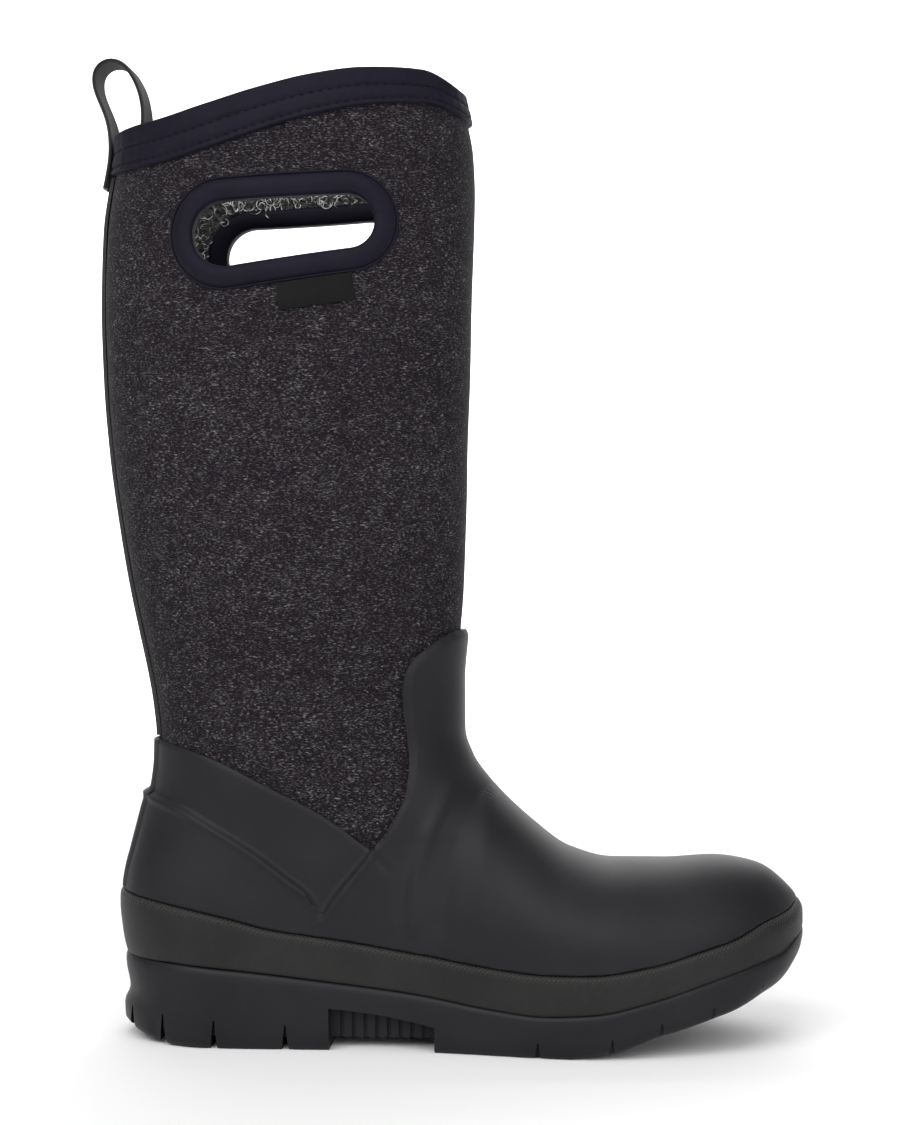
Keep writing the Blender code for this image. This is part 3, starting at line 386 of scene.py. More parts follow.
def middle(x):
    return last["toeSwing"] * np.clip(2 * x / length - 1, 0, 1) ** 2


firstFront, firstBack = (length * run for run in last["firstRing"])
ringEnds = [(firstFront, soleTop(firstFront) + gap, firstBack, soleTop(firstBack) + gap)]
ringEnds += [(length * a, heightOf(b), length * c, heightOf(d)) for a, b, c, d in last["rings"]]
ringEnds.append((length * last["lastRing"][0], wallTop(1), length * last["lastRing"][1], wallTop(0)))
topRing = len(ringEnds) - 1
frontX, frontZ, backX, backZ = [
    curve([(i, ends[column]) for i, ends in enumerate(ringEnds)]) for column in range(4)]
steps = np.linspace(0, topRing, topRing * 40 + 1)
ridgeSteps = steps[(steps >= last["toeRings"]) & (steps <= last["instepRings"][1])]
shinSteps = steps[steps >= last["instepRings"][0]]
toeSteps = steps[steps <= last["toeRings"]]


def footRidge(x):
    order = np.argsort(frontX(ridgeSteps))
    return np.interp(x, frontX(ridgeSteps)[order], frontZ(ridgeSteps)[order])


def heelBack(z):
    return np.interp(z, backZ(steps), backX(steps))


def shin(z):
    return np.interp(z, frontZ(shinSteps), frontX(shinSteps))


def toeFace(z):
    return np.interp(z, frontZ(toeSteps), frontX(toeSteps))


def bootWidth(x, z, side):                 # half width of the bootie at a point of its side view
    run = x / length
    top = np.minimum(footRidge(x), last["footShelf"] * last["instepHeight"])
    widest = last["instepHeight"] * widestCurve(run)
    up = (z - widest) / (top - widest)
    below = 1 - last["tuck"] * ((widest - z) / widest) ** 2
    profile = np.where(up >= 0, roundEnd(1 - up, last["domePower"]), below)
    half = last["heelWidth"] * heelPart(run) + last["ballWidth"] * ballPart[side](run)
    fromBack = x - heelBack(z)
    power = last["roundPower"]
    heelEnd = roundEnd(fromBack / (last["heelRound"] * length), power)
    toeEnd = roundEnd((toeFace(z) - x) / (last["toeRound"] * length), power)
    foot = half * profile * heelEnd * toeEnd
    rise = riseOf(z)
    depth = shin(z) - heelBack(z)
    backEnd = roundEnd(fromBack / (shaftBack(rise) * depth), power)
    frontEnd = roundEnd((shin(z) - x) / (shaftFront(rise) * depth), power)
    shaft = last["calfWidth"] * shaftHalf(rise) * backEnd * frontEnd
    blend = last["blendPower"]
    return (foot ** blend + shaft ** blend) ** (1 / blend)


samples = (1 - np.cos(np.linspace(0, pi, 321))) / 2


def ringSide(s, side, half):               # one side of a ring, spread along its real length
    t = samples
    x = backX(s) + (frontX(s) - backX(s)) * t
    z = backZ(s) + (frontZ(s) - backZ(s)) * t
    low = np.clip(1 - s / last["shaftRing"], 0, 1) ** 1.5
    firstX = backX(0) + (frontX(0) - backX(0)) * t
    firstZ = backZ(0) + (frontZ(0) - backZ(0)) * t
    z = z + (soleTop(firstX) + gap - firstZ) * low
    high = np.clip((s - last["shaftRing"]) / (topRing - last["shaftRing"]), 0, 1) ** 1.5
    z = z + (wallTop(t) - (backZ(topRing) + (frontZ(topRing) - backZ(topRing)) * t)) * high
    width = bootWidth(x, z, side)
    width[0] = width[-1] = 0
    points = np.stack([x, middle(x) + side * width, z], axis=1)
    run = np.concatenate([[0], np.cumsum(np.linalg.norm(np.diff(points, axis=0), axis=1))])
    u = np.linspace(0, 1, half + 1)
    crowd = last["endCrowding"] * ease((last["shaftRing"] + 1 - s) / 6)
    share = u * (1 - crowd) + crowd * (1 - np.cos(pi * u)) / 2
    return np.stack([np.interp(share * run[-1], run, points[:, axis]) for axis in range(3)], axis=1)


class Net:                                 # rows of points and outward normals over the bootie
    def __init__(self, heights, half):
        self.heights = np.array(heights, float)
        rows = []
        for s in self.heights:
            outer, inner = ringSide(s, lateral, half), ringSide(s, medial, half)
            rows.append(np.concatenate([outer, inner[-2:0:-1], outer[:1]]))
        self.points = np.array(rows)
        loop = self.points[:, :-1]
        around = np.roll(loop, -1, axis=1) - np.roll(loop, 1, axis=1)
        up = np.gradient(loop, axis=0)
        normals = np.cross(around, up)
        normals /= np.linalg.norm(normals, axis=2, keepdims=True)
        self.normals = np.concatenate([normals, normals[:, :1]], axis=1)

    def out(self, offset):
        return self.points + self.normals * np.asarray(offset)[..., None]

    def x(self):
        return self.points[..., 0]

    def z(self):
        return self.points[..., 2]


def seated(row, lift=gap):                 # a row whose points stand on the sole
    row = row.copy()
    row[:, 2] = soleTop(row[:, 0]) + lift
    return row


def crossing(net, line):                   # height along each column where it meets z = line(x)
    above = net.z() - line(net.x())
    found = []
    for column in range(above.shape[1]):
        i = int(np.argmax(above[:, column] >= 0)) or 1
        before, after = above[i - 1, column], above[i, column]
        share = np.clip(before / (before - after), 0, 1)
        found.append(net.heights[i - 1] + share * (net.heights[i] - net.heights[i - 1]))
    return np.array(found)


def alongColumns(net, heights, offset):    # one row of points, each column at its own height
    places = np.interp(heights, net.heights, np.arange(len(net.heights)))
    i = np.clip(places.astype(int), 0, len(net.heights) - 2)
    share = (places - i)[:, None]
    j = np.arange(net.points.shape[1])
    point = net.points[i, j] * (1 - share) + net.points[i + 1, j] * share
    normal = net.normals[i, j] * (1 - share) + net.normals[i + 1, j] * share
    normal /= np.linalg.norm(normal, axis=1, keepdims=True)
    return point + normal * np.asarray(offset)[..., None]


def smoothLine(points, step=1.0):          # side-view line in mm through given points
    points = np.array(points, float)
    run = np.concatenate([[0], np.cumsum(np.linalg.norm(np.diff(points, axis=0), axis=1))])
    places = np.arange(0, run[-1] + step / 2, step)
    columns = [curve(list(zip(run, points[:, axis])))(places) for axis in (0, 1)]
    return np.stack(columns, axis=1) * mm


def lineField(line, x, z):                 # signed distance (left of the line is +) and share along it
    best = np.full(x.shape, 1e9)
    signed = np.zeros(x.shape)
    along = np.zeros(x.shape)
    count = len(line) - 1
    for k, (a, b) in enumerate(zip(line, line[1:])):
        dx, dz = b - a
        size = dx * dx + dz * dz
        raw = ((x - a[0]) * dx + (z - a[1]) * dz) / size
        share = np.clip(raw, 0, 1)
        away = np.hypot(x - a[0] - share * dx, z - a[1] - share * dz)
        side = np.sign(dx * (z - a[1]) - dz * (x - a[0]))
        nearer = away < best
        best = np.where(nearer, away, best)
        signed = np.where(nearer, away * side, signed)
        along = np.where(nearer, (k + share) / count, along)
    return signed, along


def ridge(line, x, z, width, fadeIn, fadeOut):   # soft bump along a line, fading at both ends
    signed, along = lineField(line, x, z)
    fade = ease(along / fadeIn) * ease((1 - along) / fadeOut)
    return np.exp(-(signed / (width / 2)) ** 2) * fade


# ---- Modelling helpers

def alone(piece):
    if bpy.context.object and bpy.context.object.mode == "EDIT":
        bpy.ops.object.mode_set(mode="OBJECT")
    bpy.ops.object.select_all(action="DESELECT")
    piece.select_set(True)
    bpy.context.view_layer.objects.active = piece


def finished(piece, name, *coats, angle=None):
    piece.name = piece.data.name = name
    alone(piece)
    if angle is None:
        bpy.ops.object.shade_smooth()
    else:
        bpy.ops.object.shade_smooth_by_angle(angle=radians(angle))
    for coat in coats:
        piece.data.materials.append(finishes[coat])
    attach(piece, "root")
    return piece


def measured(points):                      # metres around and along a net, for its UV map
    around = np.linalg.norm(np.diff(points, axis=1), axis=2).mean(axis=0)
    along = np.linalg.norm(np.diff(points, axis=0), axis=2)
    u = np.broadcast_to(np.concatenate([[0], np.cumsum(around)]), points.shape[:2])
    v = np.concatenate([np.zeros((1, points.shape[1])), np.cumsum(along, axis=0)])
    return np.stack([u, v], axis=2)


def layNets(nets, zones=(), uv=None, caps=False):
    rows, columns = nets[0].shape[:2]
    bpy.ops.object.select_all(action="DESELECT")
    bpy.ops.mesh.primitive_grid_add(x_subdivisions=columns - 1, y_subdivisions=rows - 1, size=1)
    first = bpy.context.active_object
    for firstRow, lastRow, coat in zones:
        for face in first.data.polygons[firstRow * (columns - 1):lastRow * (columns - 1)]:
            face.material_index = coat
    if uv is not None:
        index = np.empty(len(first.data.loops), int)
        first.data.loops.foreach_get("vertex_index", index)
        first.data.uv_layers.active.data.foreach_set("uv", uv.reshape(-1, 2)[index].ravel())
    pieces = [first]
    for _ in nets[1:]:
        piece = first.copy()
        piece.data = first.data.copy()
        bpy.context.collection.objects.link(piece)
        pieces.append(piece)
    for piece, points in zip(pieces, nets):
        placed = points.reshape(-1, 3).copy()
        placed[:, 0] -= length * last["seatRun"]
        piece.data.vertices.foreach_set("co", placed.ravel())
    piece = joined(pieces)
    bpy.ops.object.mode_set(mode="EDIT")
    bpy.ops.mesh.select_all(action="SELECT")
    bpy.ops.mesh.remove_doubles(threshold=1e-6)
    if caps:
        bpy.ops.mesh.select_all(action="SELECT")
        bpy.ops.mesh.fill_holes(sides=0)
        bpy.ops.mesh.select_all(action="SELECT")
    bpy.ops.mesh.normals_make_consistent(inside=False)
    bpy.ops.object.mode_set(mode="OBJECT")
    return piece


def layNet(points, **settings):
    return layNets([points], **settings)


def sidePrism(outline, yFrom=-0.15, yTo=0.15):   # cutter with an outline in side view
    bpy.ops.object.select_all(action="DESELECT")
    bpy.ops.mesh.primitive_circle_add(vertices=len(outline), radius=1, fill_type="NGON")
    tool = bpy.context.active_object
    for vertex, (x, z) in zip(tool.data.vertices, outline):
        vertex.co = (x - length * last["seatRun"], yFrom, z)
    bpy.ops.object.mode_set(mode="EDIT")
    bpy.ops.mesh.select_all(action="SELECT")
    bpy.ops.mesh.extrude_region_move(TRANSFORM_OT_translate={"value": (0, yTo - yFrom, 0)})
    bpy.ops.mesh.select_all(action="SELECT")
    bpy.ops.mesh.normals_make_consistent(inside=False)
    bpy.ops.object.mode_set(mode="OBJECT")
    return tool


def joined(pieces):
    alone(pieces[0])
    for piece in pieces:
        piece.select_set(True)
    bpy.ops.object.join()
    return pieces[0]


def cut(piece, *tools):
    bag = bpy.data.collections.new("cutters")
    for tool in tools:
        bag.objects.link(tool)
    alone(piece)
    change = piece.modifiers.new("cut", "BOOLEAN")
    change.operation = "DIFFERENCE"
    change.solver = "EXACT"
    change.operand_type = "COLLECTION"
    change.collection = bag
    bpy.ops.object.modifier_apply(modifier=change.name)
    for tool in tools:
        bpy.data.objects.remove(tool, do_unlink=True)
    bpy.data.collections.remove(bag)


# ---- Rubber band around the joint of shell and sole

band = {
    "thick": 2.5 * mm, "height": 16.5 * mm, "round": 1.3 * mm, "toeRound": 4.0 * mm,
    "line": [
        (0.000, 1.58), (0.100, 1.41), (0.170, 1.25), (0.240, 1.08), (0.330, 1.05), (0.450, 0.98),
        (0.600, 1.00), (0.700, 0.93), (0.800, 0.82), (0.880, 0.79), (0.940, 0.92), (1.000, 0.85),
    ],
}
bandCurve = curve(band["line"])


def bandTop(x):
    return soleTop(x) + band["height"] * bandCurve(x / length)


# ---- Side-view lines of the rubber shell, in mm from the back of the outsole

shell = {
    "thick": 1.8 * mm, "step": 1.5 * mm, "bevel": 3.0 * mm, "lip": 2.4 * mm, "topRing": 15,
    "edge": [
        (-30, 125.9), (2, 125.9), (12.4, 125.2), (37.9, 119.9), (71.4, 104.8), (87.7, 96.2),
        (98, 89.3), (105, 84.0), (108.4, 82.2), (110.2, 83.4), (113.2, 87.0), (119.1, 96.2),
        (122.9, 105.2), (124.0, 116.6), (123.1, 127.2), (121.6, 138.7), (121.4, 146.5),
        (122.3, 153.6), (125.5, 159.4), (131.6, 164.5), (137.0, 168.2), (143.4, 170.6),
        (150, 171.0), (190, 171.0),
    ],
    "counter": [
        (-30, 103.4), (4, 103.3), (10.6, 102.5), (29.2, 98.2), (45.5, 90.0), (61.1, 80.3),
        (73.4, 71.1), (81.6, 65.0), (85.6, 59.9), (87.9, 53.4),
    ],
    "vampRear": [(87.9, 53.4), (93.8, 63.0), (102.0, 73.2), (107.6, 80.4), (109, 84), (109.2, 180)],
    "flexRib": [(144.5, 121.0), (143.2, 117.4), (131.0, 84.2), (127.3, 66.6), (126.5, 44.0)],
    "flexValley": [(153.5, 113.5), (152.4, 110.8), (143.2, 84.2), (137.9, 50.3), (137.2, 44.0)],
    "softRib": [(121.0, 96.0), (118.6, 82.0), (117.2, 66.0), (117.0, 46.0)],
    "crease": [(108.4, 82.0), (112.6, 77.2), (118.6, 69.8)],
    "tip": (0.0885, 0.0534), "vampStart": 0.080, "crestStart": 0.085,
    "crest": 0.85 * mm, "crestIn": 1.7 * mm, "crestWidth": 1.3 * mm, "crestFoot": (0.0520, 7 * mm),
    "bandClear": (0.4 * mm, 1.1 * mm),
    # line, height, width, fade in, fade out
    "flexes": [
        ("flexRib", 1.5 * mm, 6.4 * mm, 0.45, 0.12), ("flexValley", -0.95 * mm, 8.0 * mm, 0.80, 0.15),
        ("softRib", 0.40 * mm, 5.0 * mm, 0.25, 0.10), ("crease", -0.45 * mm, 2.8 * mm, 0.20, 0.50),
    ],
}
for lineName in ("edge", "counter", "vampRear", "flexRib", "flexValley", "softRib", "crease"):
    shell[lineName] = smoothLine(shell[lineName])


def crestOf(signed):                       # soft bead just inside a raised edge
    return np.exp(-((signed + shell["crestIn"]) / shell["crestWidth"]) ** 2)


def shellHeight(x, z):                     # how far the rubber stands out of the bootie
    counter, _ = lineField(shell["counter"], x, z)
    vamp, _ = lineField(shell["vampRear"], x, z)
    tipX, tipZ = shell["tip"]
    behind = x < tipX
    raisedHeel = ease(-counter / shell["bevel"] + 0.5) * behind
    raisedVamp = np.where(z < tipZ, 1.0, ease(-vamp / shell["bevel"] + 0.5))
    raised = np.maximum(raisedHeel, raisedVamp * (x > shell["vampStart"]))
    below, fade = shell["bandClear"]
    overBand = ease((z - bandTop(x) + below) / fade)
    crest = crestOf(counter) * behind
    crest = np.maximum(crest, crestOf(vamp) * (z > tipZ) * (x > shell["crestStart"]))
    foot, rise = shell["crestFoot"]
    crest = crest * ease((z - foot) / rise)
    high = gap + shell["thick"] + (shell["step"] * raised + shell["crest"] * crest) * overBand
    flex = sum(size * ridge(shell[line], x, z, width, fadeIn, fadeOut)
               for line, size, width, fadeIn, fadeOut in shell["flexes"])
    high = high + flex * overBand
    edge, _ = lineField(shell["edge"], x, z)
    inside = np.clip(-edge / shell["lip"], 0, 1)
    return gap + (high - gap) * (0.52 + 0.48 * np.sqrt(1 - (1 - inside) ** 2))


def makeShell():
    net = Net(np.linspace(0, shell["topRing"], 205), 250)
    outside = net.out(shellHeight(net.x(), net.z()))
    outside[0] = seated(outside[0])
    liner = Net(np.linspace(0, shell["topRing"], 23), 250)
    inside = liner.out(np.full(liner.x().shape, gap))
    inside[0] = seated(inside[0])
    rows = np.concatenate([outside, inside[::-1], outside[:1]])
    piece = layNet(rows)
    above = [tuple(point) for point in shell["edge"]] + [(0.19, 0.30), (-0.03, 0.30)]
    cut(piece, sidePrism(above))
    finished(piece, "rubberShell", "shell", angle=50)
    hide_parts("shell")


makeShell()
print("shell made")


# ---- Bootie: knit outside, curly pile inside

handle = {
    "span": 0.0500, "backRadius": 0.0151, "frontRadius": 0.0128, "run": 0.075, "height": 0.3358,
    "tilt": 0.100,
}


def handleEnds(grow):
    ends = []
    for sign, radius in ((-1, handle["backRadius"]), (1, handle["frontRadius"])):
        x = handle["run"] + sign * handle["span"] / 2 * cos(handle["tilt"])
        z = handle["height"] + sign * handle["span"] / 2 * sin(handle["tilt"])
        ends.append((x, z, radius + grow))
    return ends


def handleOutline(grow, arcSteps=18, runSteps=18):
    ends = handleEnds(grow)
    lean = acos((handle["backRadius"] - handle["frontRadius"]) / handle["span"])
    outline = []
    for which, start, end in ((1, -lean, lean), (0, lean, 2 * pi - lean)):
        x, z, radius = ends[which]
        for i in range(arcSteps + 1):
            angle = handle["tilt"] + start + (end - start) * i / arcSteps
            outline.append((x + radius * cos(angle), z + radius * sin(angle)))
        nextX, nextZ, nextRadius = ends[1 - which]
        angle = handle["tilt"] + end
        a = outline[-1]
        b = (nextX + nextRadius * cos(angle), nextZ + nextRadius * sin(angle))
        outline += [(a[0] + (b[0] - a[0]) * i / runSteps, a[1] + (b[1] - a[1]) * i / runSteps)
                    for i in range(1, runSteps)]
    return outline


def ripple(x, z, seed, size):              # gentle seeded waves, no two alike
    chance = np.random.default_rng(seed)
    total = np.zeros(np.shape(x))
    for _ in range(7):
        angle, phase = chance.uniform(0, pi), chance.uniform(0, 2 * pi)
        rate = 2 * pi / (size * chance.uniform(0.6, 1.6))
        total = total + np.sin((x * cos(angle) + z * sin(angle)) * rate + phase)
    return total / 7


def makeBootie():
    heights = np.concatenate([np.linspace(0, 12, 49)[:-1], np.linspace(12, topRing, 97)])
    net = Net(heights, 96)
    onShaft = ease((net.z() - 0.19) / 0.05) * ease((0.375 - net.z()) / 0.02)
    waves = ripple(net.x() + net.points[..., 1] * 0.7, net.z(), 4, 0.055) * 0.55 * mm * onShaft
    outside = net.out(waves)
    pile = ripple(net.x() + net.points[..., 1], net.z(), 9, 0.006) * 0.35 * mm
    pile = pile + ripple(net.points[..., 1], net.z() + net.x(), 10, 0.009) * 0.35 * mm
    inside = net.out(-wall + np.clip(pile, -0.5 * mm, 0.5 * mm))
    outside[0], inside[0] = seated(outside[0]), seated(inside[0])
    rows = np.concatenate([outside, inside[::-1], outside[:1]])
    count = len(heights)
    piece = layNet(rows, zones=[(count, 2 * count, 1)])
    cut(piece, sidePrism(handleOutline(0)))
    finished(piece, "knitBootie", "knit", "lining", angle=60)
    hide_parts("upper")


makeBootie()
print("bootie made")


# ---- Footbed

def folded(row):                           # both sides of a row brought onto the middle line
    spine = (row + row[::-1]) / 2
    spine[:, 1] = middle(spine[:, 0])
    return spine


def makeFootbed():
    inset, lift, thick = -(wall + 2 * gap), 2 * gap, 0.005
    fine = Net(np.linspace(0, 6, 121), 96)
    rows = []
    for rise, share in ((lift, 1.0), (lift + thick * 0.7, 1.0), (lift + thick, 0.985)):
        heights = crossing(fine, lambda x: soleTop(x) + rise)
        row = alongColumns(fine, heights, np.full(len(heights), inset))
        row[:, 2] = soleTop(row[:, 0]) + rise
        rows.append(folded(row) + (row - folded(row)) * share)
    rim = rows[2]
    for share in (0.9, 0.7, 0.45, 0.2, 0.0):
        row = folded(rim) + (rim - folded(rim)) * share
        row[:, 2] -= 0.0012 * (1 - share)
        rows.append(row)
    piece = layNet(np.array([folded(rows[0])] + rows))
    finished(piece, "footbed", "footbed", angle=60)
    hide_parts("insole")


makeFootbed()
print("footbed made")


def makeBand():
    fine = Net(np.linspace(0, 6, 121), 170)
    inner = gap + shell["thick"] + 2 * gap
    tops = crossing(fine, bandTop)
    size = band["height"]
    shares = [0, 0.02, 0.05, 0.09, 0.15, 0.25, 0.37, 0.5, 0.62, 0.74, 0.84, 0.91, 0.95, 0.98, 1.0]
    rows = []
    for share in shares:
        up = share * size
        down = (1 - share) * size
        toe = ease((fine.x()[0] / length - 0.86) / 0.10) * (up > down)
        edge = np.minimum(up, down) / (band["round"] + band["toeRound"] * toe)
        soft = np.sqrt(1 - (1 - np.clip(edge, 0, 1)) ** 2)
        low = 0.45 - 0.30 * toe
        offset = inner + band["thick"] * (low + (1 - low) * soft)
        row = alongColumns(fine, tops * share, offset)
        if share == 0:
            row = seated(row, 2 * gap)
        rows.append(row)
    for share in shares[::-2]:
        row = alongColumns(fine, tops * share, np.full(len(tops), inner))
        if share == 0:
            row = seated(row, 2 * gap)
        rows.append(row)
    rows.append(rows[0])
    rows = np.array(rows)
    spots = measured(rows)
    spots[..., 1] -= spots[len(shares) - 1, :, 1]
    piece = layNet(rows, uv=spots)
    finished(piece, "soleBand", "band", angle=50)
    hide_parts("foxing")


makeBand()
print("band made")


# ---- Outsole with lugs, arch recess and ribs

sole = {
    "ledge": 5.7 * mm,
    # level, then share of the ledge at the sides, at the heel and at the toe
    "side": [
        (0.00, 0.63, 0.56, -0.70), (0.10, 0.84, 1.12, -0.09), (0.28, 0.96, 1.16, 0.50),
        (0.50, 0.98, 0.63, 0.88), (0.87, 1.00, 1.03, 1.05), (1.00, 0.91, 0.98, 1.00),
    ],
    "backRun": 0.085, "toeRun": 0.880, "tread": 5.0 * mm, "groove": 2.8 * mm,
    "rib": 6.0 * mm, "grooveInset": 9 * mm,
    "grooves": (0.0764, 0.1528, 0.2552, 0.615, 0.719, 0.788, 0.861, 0.932),
    # slits in the lugs' sides: run, height, how far the side dips in around them
    "slits": [
        (0.0240, 10.0 * mm, 0.0), (0.0764, 12.0 * mm, 1.0 * mm), (0.1528, 12.0 * mm, 1.0 * mm),
        (0.2552, 10.5 * mm, 0.8 * mm), (0.615, 6.5 * mm, 0.5 * mm), (0.719, 6.0 * mm, 0.5 * mm),
        (0.788, 5.5 * mm, 0.4 * mm), (0.861, 5.0 * mm, 0.4 * mm), (0.932, 5.0 * mm, 0.3 * mm),
    ],
    "slitDeep": 3.6 * mm, "slitFoot": 3.2 * mm, "slitTip": 0.5 * mm,
    "archRuns": (0.318, 0.469), "archRises": (0.490, 0.300), "archInset": 8.0 * mm, "archBulge": 0.9 * mm,
    "archClear": 4.5 * mm, "ribPitch": 4.4 * mm, "ribGroove": 1.6 * mm,
}
sideLedge, backLedge, toeLedge = [curve(sole["side"], column) for column in (1, 2, 3)]


def ledge(level, x):
    run = x / length
    side, back, toe = sideLedge(level), backLedge(level), toeLedge(level)
    atBack = 1 - ease(run / sole["backRun"])
    atToe = ease((run - sole["toeRun"]) / (last["firstRing"][0] - sole["toeRun"]))
    return sole["ledge"] * (side + (back - side) * atBack + (toe - side) * atToe)


def makeSole():
    base = Net([0, 0.05], 320).points[0]
    loop = base[:-1]
    around = np.roll(loop, -1, axis=0) - np.roll(loop, 1, axis=0)
    out = np.stack([around[:, 1], -around[:, 0], around[:, 0] * 0], axis=1)
    out /= np.linalg.norm(out, axis=1, keepdims=True)
    out = np.concatenate([out, out[:1]])

    def lugDip(level):
        dip = base[:, 0] * 0
        for run, height, deep in sole["slits"]:
            reach = height / (0.8 * last["soleHeight"])
            near = np.exp(-((base[:, 0] - run * length) / (2.6 * mm)) ** 2)
            dip = dip + deep * near * ease(1 - level / reach) * np.abs(out[:, 1])
        return dip

    def ring(level, inset=0.0, share=1.0):
        row = base + out * (ledge(level, base[:, 0]) - inset - lugDip(level))[:, None]
        row = folded(row) + (row - folded(row)) * share
        low = ground(row[:, 0])
        row[:, 2] = low + (soleTop(row[:, 0]) - low) * level
        return row

    rows = [ring(1.0, 2.0 * mm, share) for share in (0.0, 0.5, 0.85)] + [ring(1.0, 1.6 * mm)]
    rows += [ring(level, inset * mm) for level, inset in (
        (0.995, 0.75), (0.975, 0.25), (0.94, 0.0), (0.87, 0), (0.78, 0), (0.68, 0), (0.58, 0), (0.5, 0),
        (0.42, 0), (0.34, 0), (0.28, 0), (0.22, 0), (0.16, 0), (0.1, 0), (0.05, 0.1), (0.015, 0.45))]
    rows += [ring(0.0, 0.9 * mm, share) for share in (1.0, 0.85, 0.5, 0.0)]
    piece = layNet(np.array(rows))
    start, end = (length * run for run in sole["archRuns"])
    topStart, topEnd = (last["soleHeight"] * rise for rise in sole["archRises"])
    half, clear = sole["ribGroove"] / 2, sole["archClear"]

    def archTop(share):
        return topStart + (topEnd - topStart) * share + 4 * sole["archBulge"] * share * (1 - share)

    def edgeAt(x, side):                   # half width of the sole's side at x
        return float(bootWidth(np.array([x]), soleTop(np.array([x])) + gap, side)[0]) + sole["ledge"]

    tools = [sidePrism([(start, -clear), (end, -clear), (end, clear), (start, clear)])]
    for side in (lateral, medial):
        core = side * (edgeAt((start + end) / 2, side) - sole["archInset"])
        roof = [(end + (start - end) * i / 12, archTop(1 - i / 12)) for i in range(13)]
        tools.append(sidePrism([(start, -clear), (end, -clear)] + roof, *sorted((core, side * 0.15))))
        count = int((end - start) / sole["ribPitch"])
        for i in range(1, count):
            x = start + (end - start) * i / count
            top = archTop(i / count) - 1.2 * mm
            outline = [(x - half, -clear), (x + half, -clear), (x + half, top), (x - half, top)]
            tools.append(sidePrism(outline, *sorted((core - side * sole["ribGroove"], core + side * half))))
        for run, height, deep in sole["slits"]:
            x = length * run
            low = float(ground(np.array([x]))[0])
            foot, tip = sole["slitFoot"] / 2, sole["slitTip"] / 2
            inner = side * (edgeAt(x, side) - sole["slitDeep"] - deep)
            tools.append(sidePrism([(x - foot, low - 2 * mm), (x + foot, low - 2 * mm),
                                    (x + tip + 0.3 * mm, low + height), (x - tip + 0.3 * mm, low + height)],
                                   *sorted((inner, side * 0.10))))
    for run in sole["grooves"]:
        x = length * run
        low, top = ground(x) - sole["tread"], ground(x) + sole["tread"]
        wide = sole["groove"]
        outline = [(x - wide * 0.65, low), (x + wide * 0.65, low),
                   (x + wide * 0.25, top), (x - wide * 0.25, top)]
        spans = [(-0.10, 0.10)]
        if run > 0.5:                      # inside the sides, so that no light comes through
            spans = [sorted((side * sole["rib"], side * (edgeAt(x, side) - sole["grooveInset"])))
                     for side in (lateral, medial)]
        tools += [sidePrism(outline, *span) for span in spans]
    for runs in ((0.060, 0.310), (0.480, 0.950)):
        for side in (lateral, medial):
            sections = []
            for i in range(25):
                x = length * (runs[0] + (runs[1] - runs[0]) * i / 24)
                y = middle(x) + side * 0.015
                low, high = ground(x) - sole["tread"], ground(x) + sole["tread"] * 0.8
                sections.append([(x, y - 0.0021, low), (x, y + 0.0021, low), (x, y + 0.0015, high),
                                 (x, y - 0.0015, high), (x, y - 0.0021, low)])
            tools.append(layNet(np.array(sections, float), caps=True))
    cut(piece, *tools)
    finished(piece, "treadSole", "sole", angle=40)
    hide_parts("outsole")


makeSole()
print("sole made")


# ---- Strips up the back: rubber on the heel, tape over the shaft's seam

def backSurface(y, z, offset):             # on the back of the bootie, at side place y and height z
    def depth(side, height):
        near = heelBack(height)
        xs = near + np.linspace(0, 1, 160) ** 2 * 0.03
        widths = bootWidth(xs, np.full(160, height), medial if side > 0 else lateral)
        return float(np.interp(abs(side), widths, xs))
    small = 0.0006
    slopeY = (depth(y + small, z) - depth(y - small, z)) / (2 * small)
    slopeZ = (depth(y, z + small) - depth(y, z - small)) / (2 * small)
    return Vector((depth(y, z), y, z)) + Vector((-1, slopeY, slopeZ)).normalized() * offset


def backTape(width, thick, stations, count=12):
    sections = []
    ys = [width * (i / count - 0.5) for i in range(count + 1)]
    for z, inner in stations:
        low = [backSurface(y, z, inner) for y in ys]
        tops = []
        for y in ys[::-1]:
            near = min(1, (width / 2 - abs(y)) / (2.4 * mm))
            tops.append(backSurface(y, z, inner + thick * (0.12 + 0.88 * (1 - (1 - near) ** 2) ** 0.5)))
        sections.append(low + tops + low[:1])
    sections = np.array([[tuple(p) for p in section] for section in sections])
    return layNet(sections, uv=measured(sections), caps=True)


def makeStrips():
    bottom, top = float(bandTop(0)) + 2 * gap, 0.1243
    stations = []
    for i in range(61):
        z = bottom + (top - bottom) * i / 60
        lip = np.array([min(z, 0.1222)])
        stations.append((z, float(shellHeight(heelBack(lip), lip)[0]) - 0.05 * mm))
    heel = backTape(0.028, 1.0 * mm, stations)
    finished(heel, "heelStrip", "shell", angle=50)
    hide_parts("heel_strip")
    bottom, top = 0.1260, float(wallTop(0)) - 0.0150 - gap - 0.4 * mm
    stations = [(bottom + (top - bottom) * i / 110, gap) for i in range(111)]
    tape = backTape(0.022, 1.6 * mm, stations)
    finished(tape, "seamTape", "webbing", angle=50)
    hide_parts("back_strip")


makeStrips()
print("strips made")


# ---- Collar binding with two rows of stitches

collar = {
    "thick": 2.0 * mm, "depth": 15.0 * mm, "innerDepth": 12.0 * mm,
    "line": [(0.0, 1.00), (0.3, 1.13), (0.5, 1.03), (0.7, 0.90), (0.85, 0.80), (1.0, 0.66)],
    "rows": (0.42, 0.84), "pitch": 3.9 * mm, "stitch": 2.3 * mm, "thread": 0.55 * mm,
}
collarShare = curve(collar["line"])


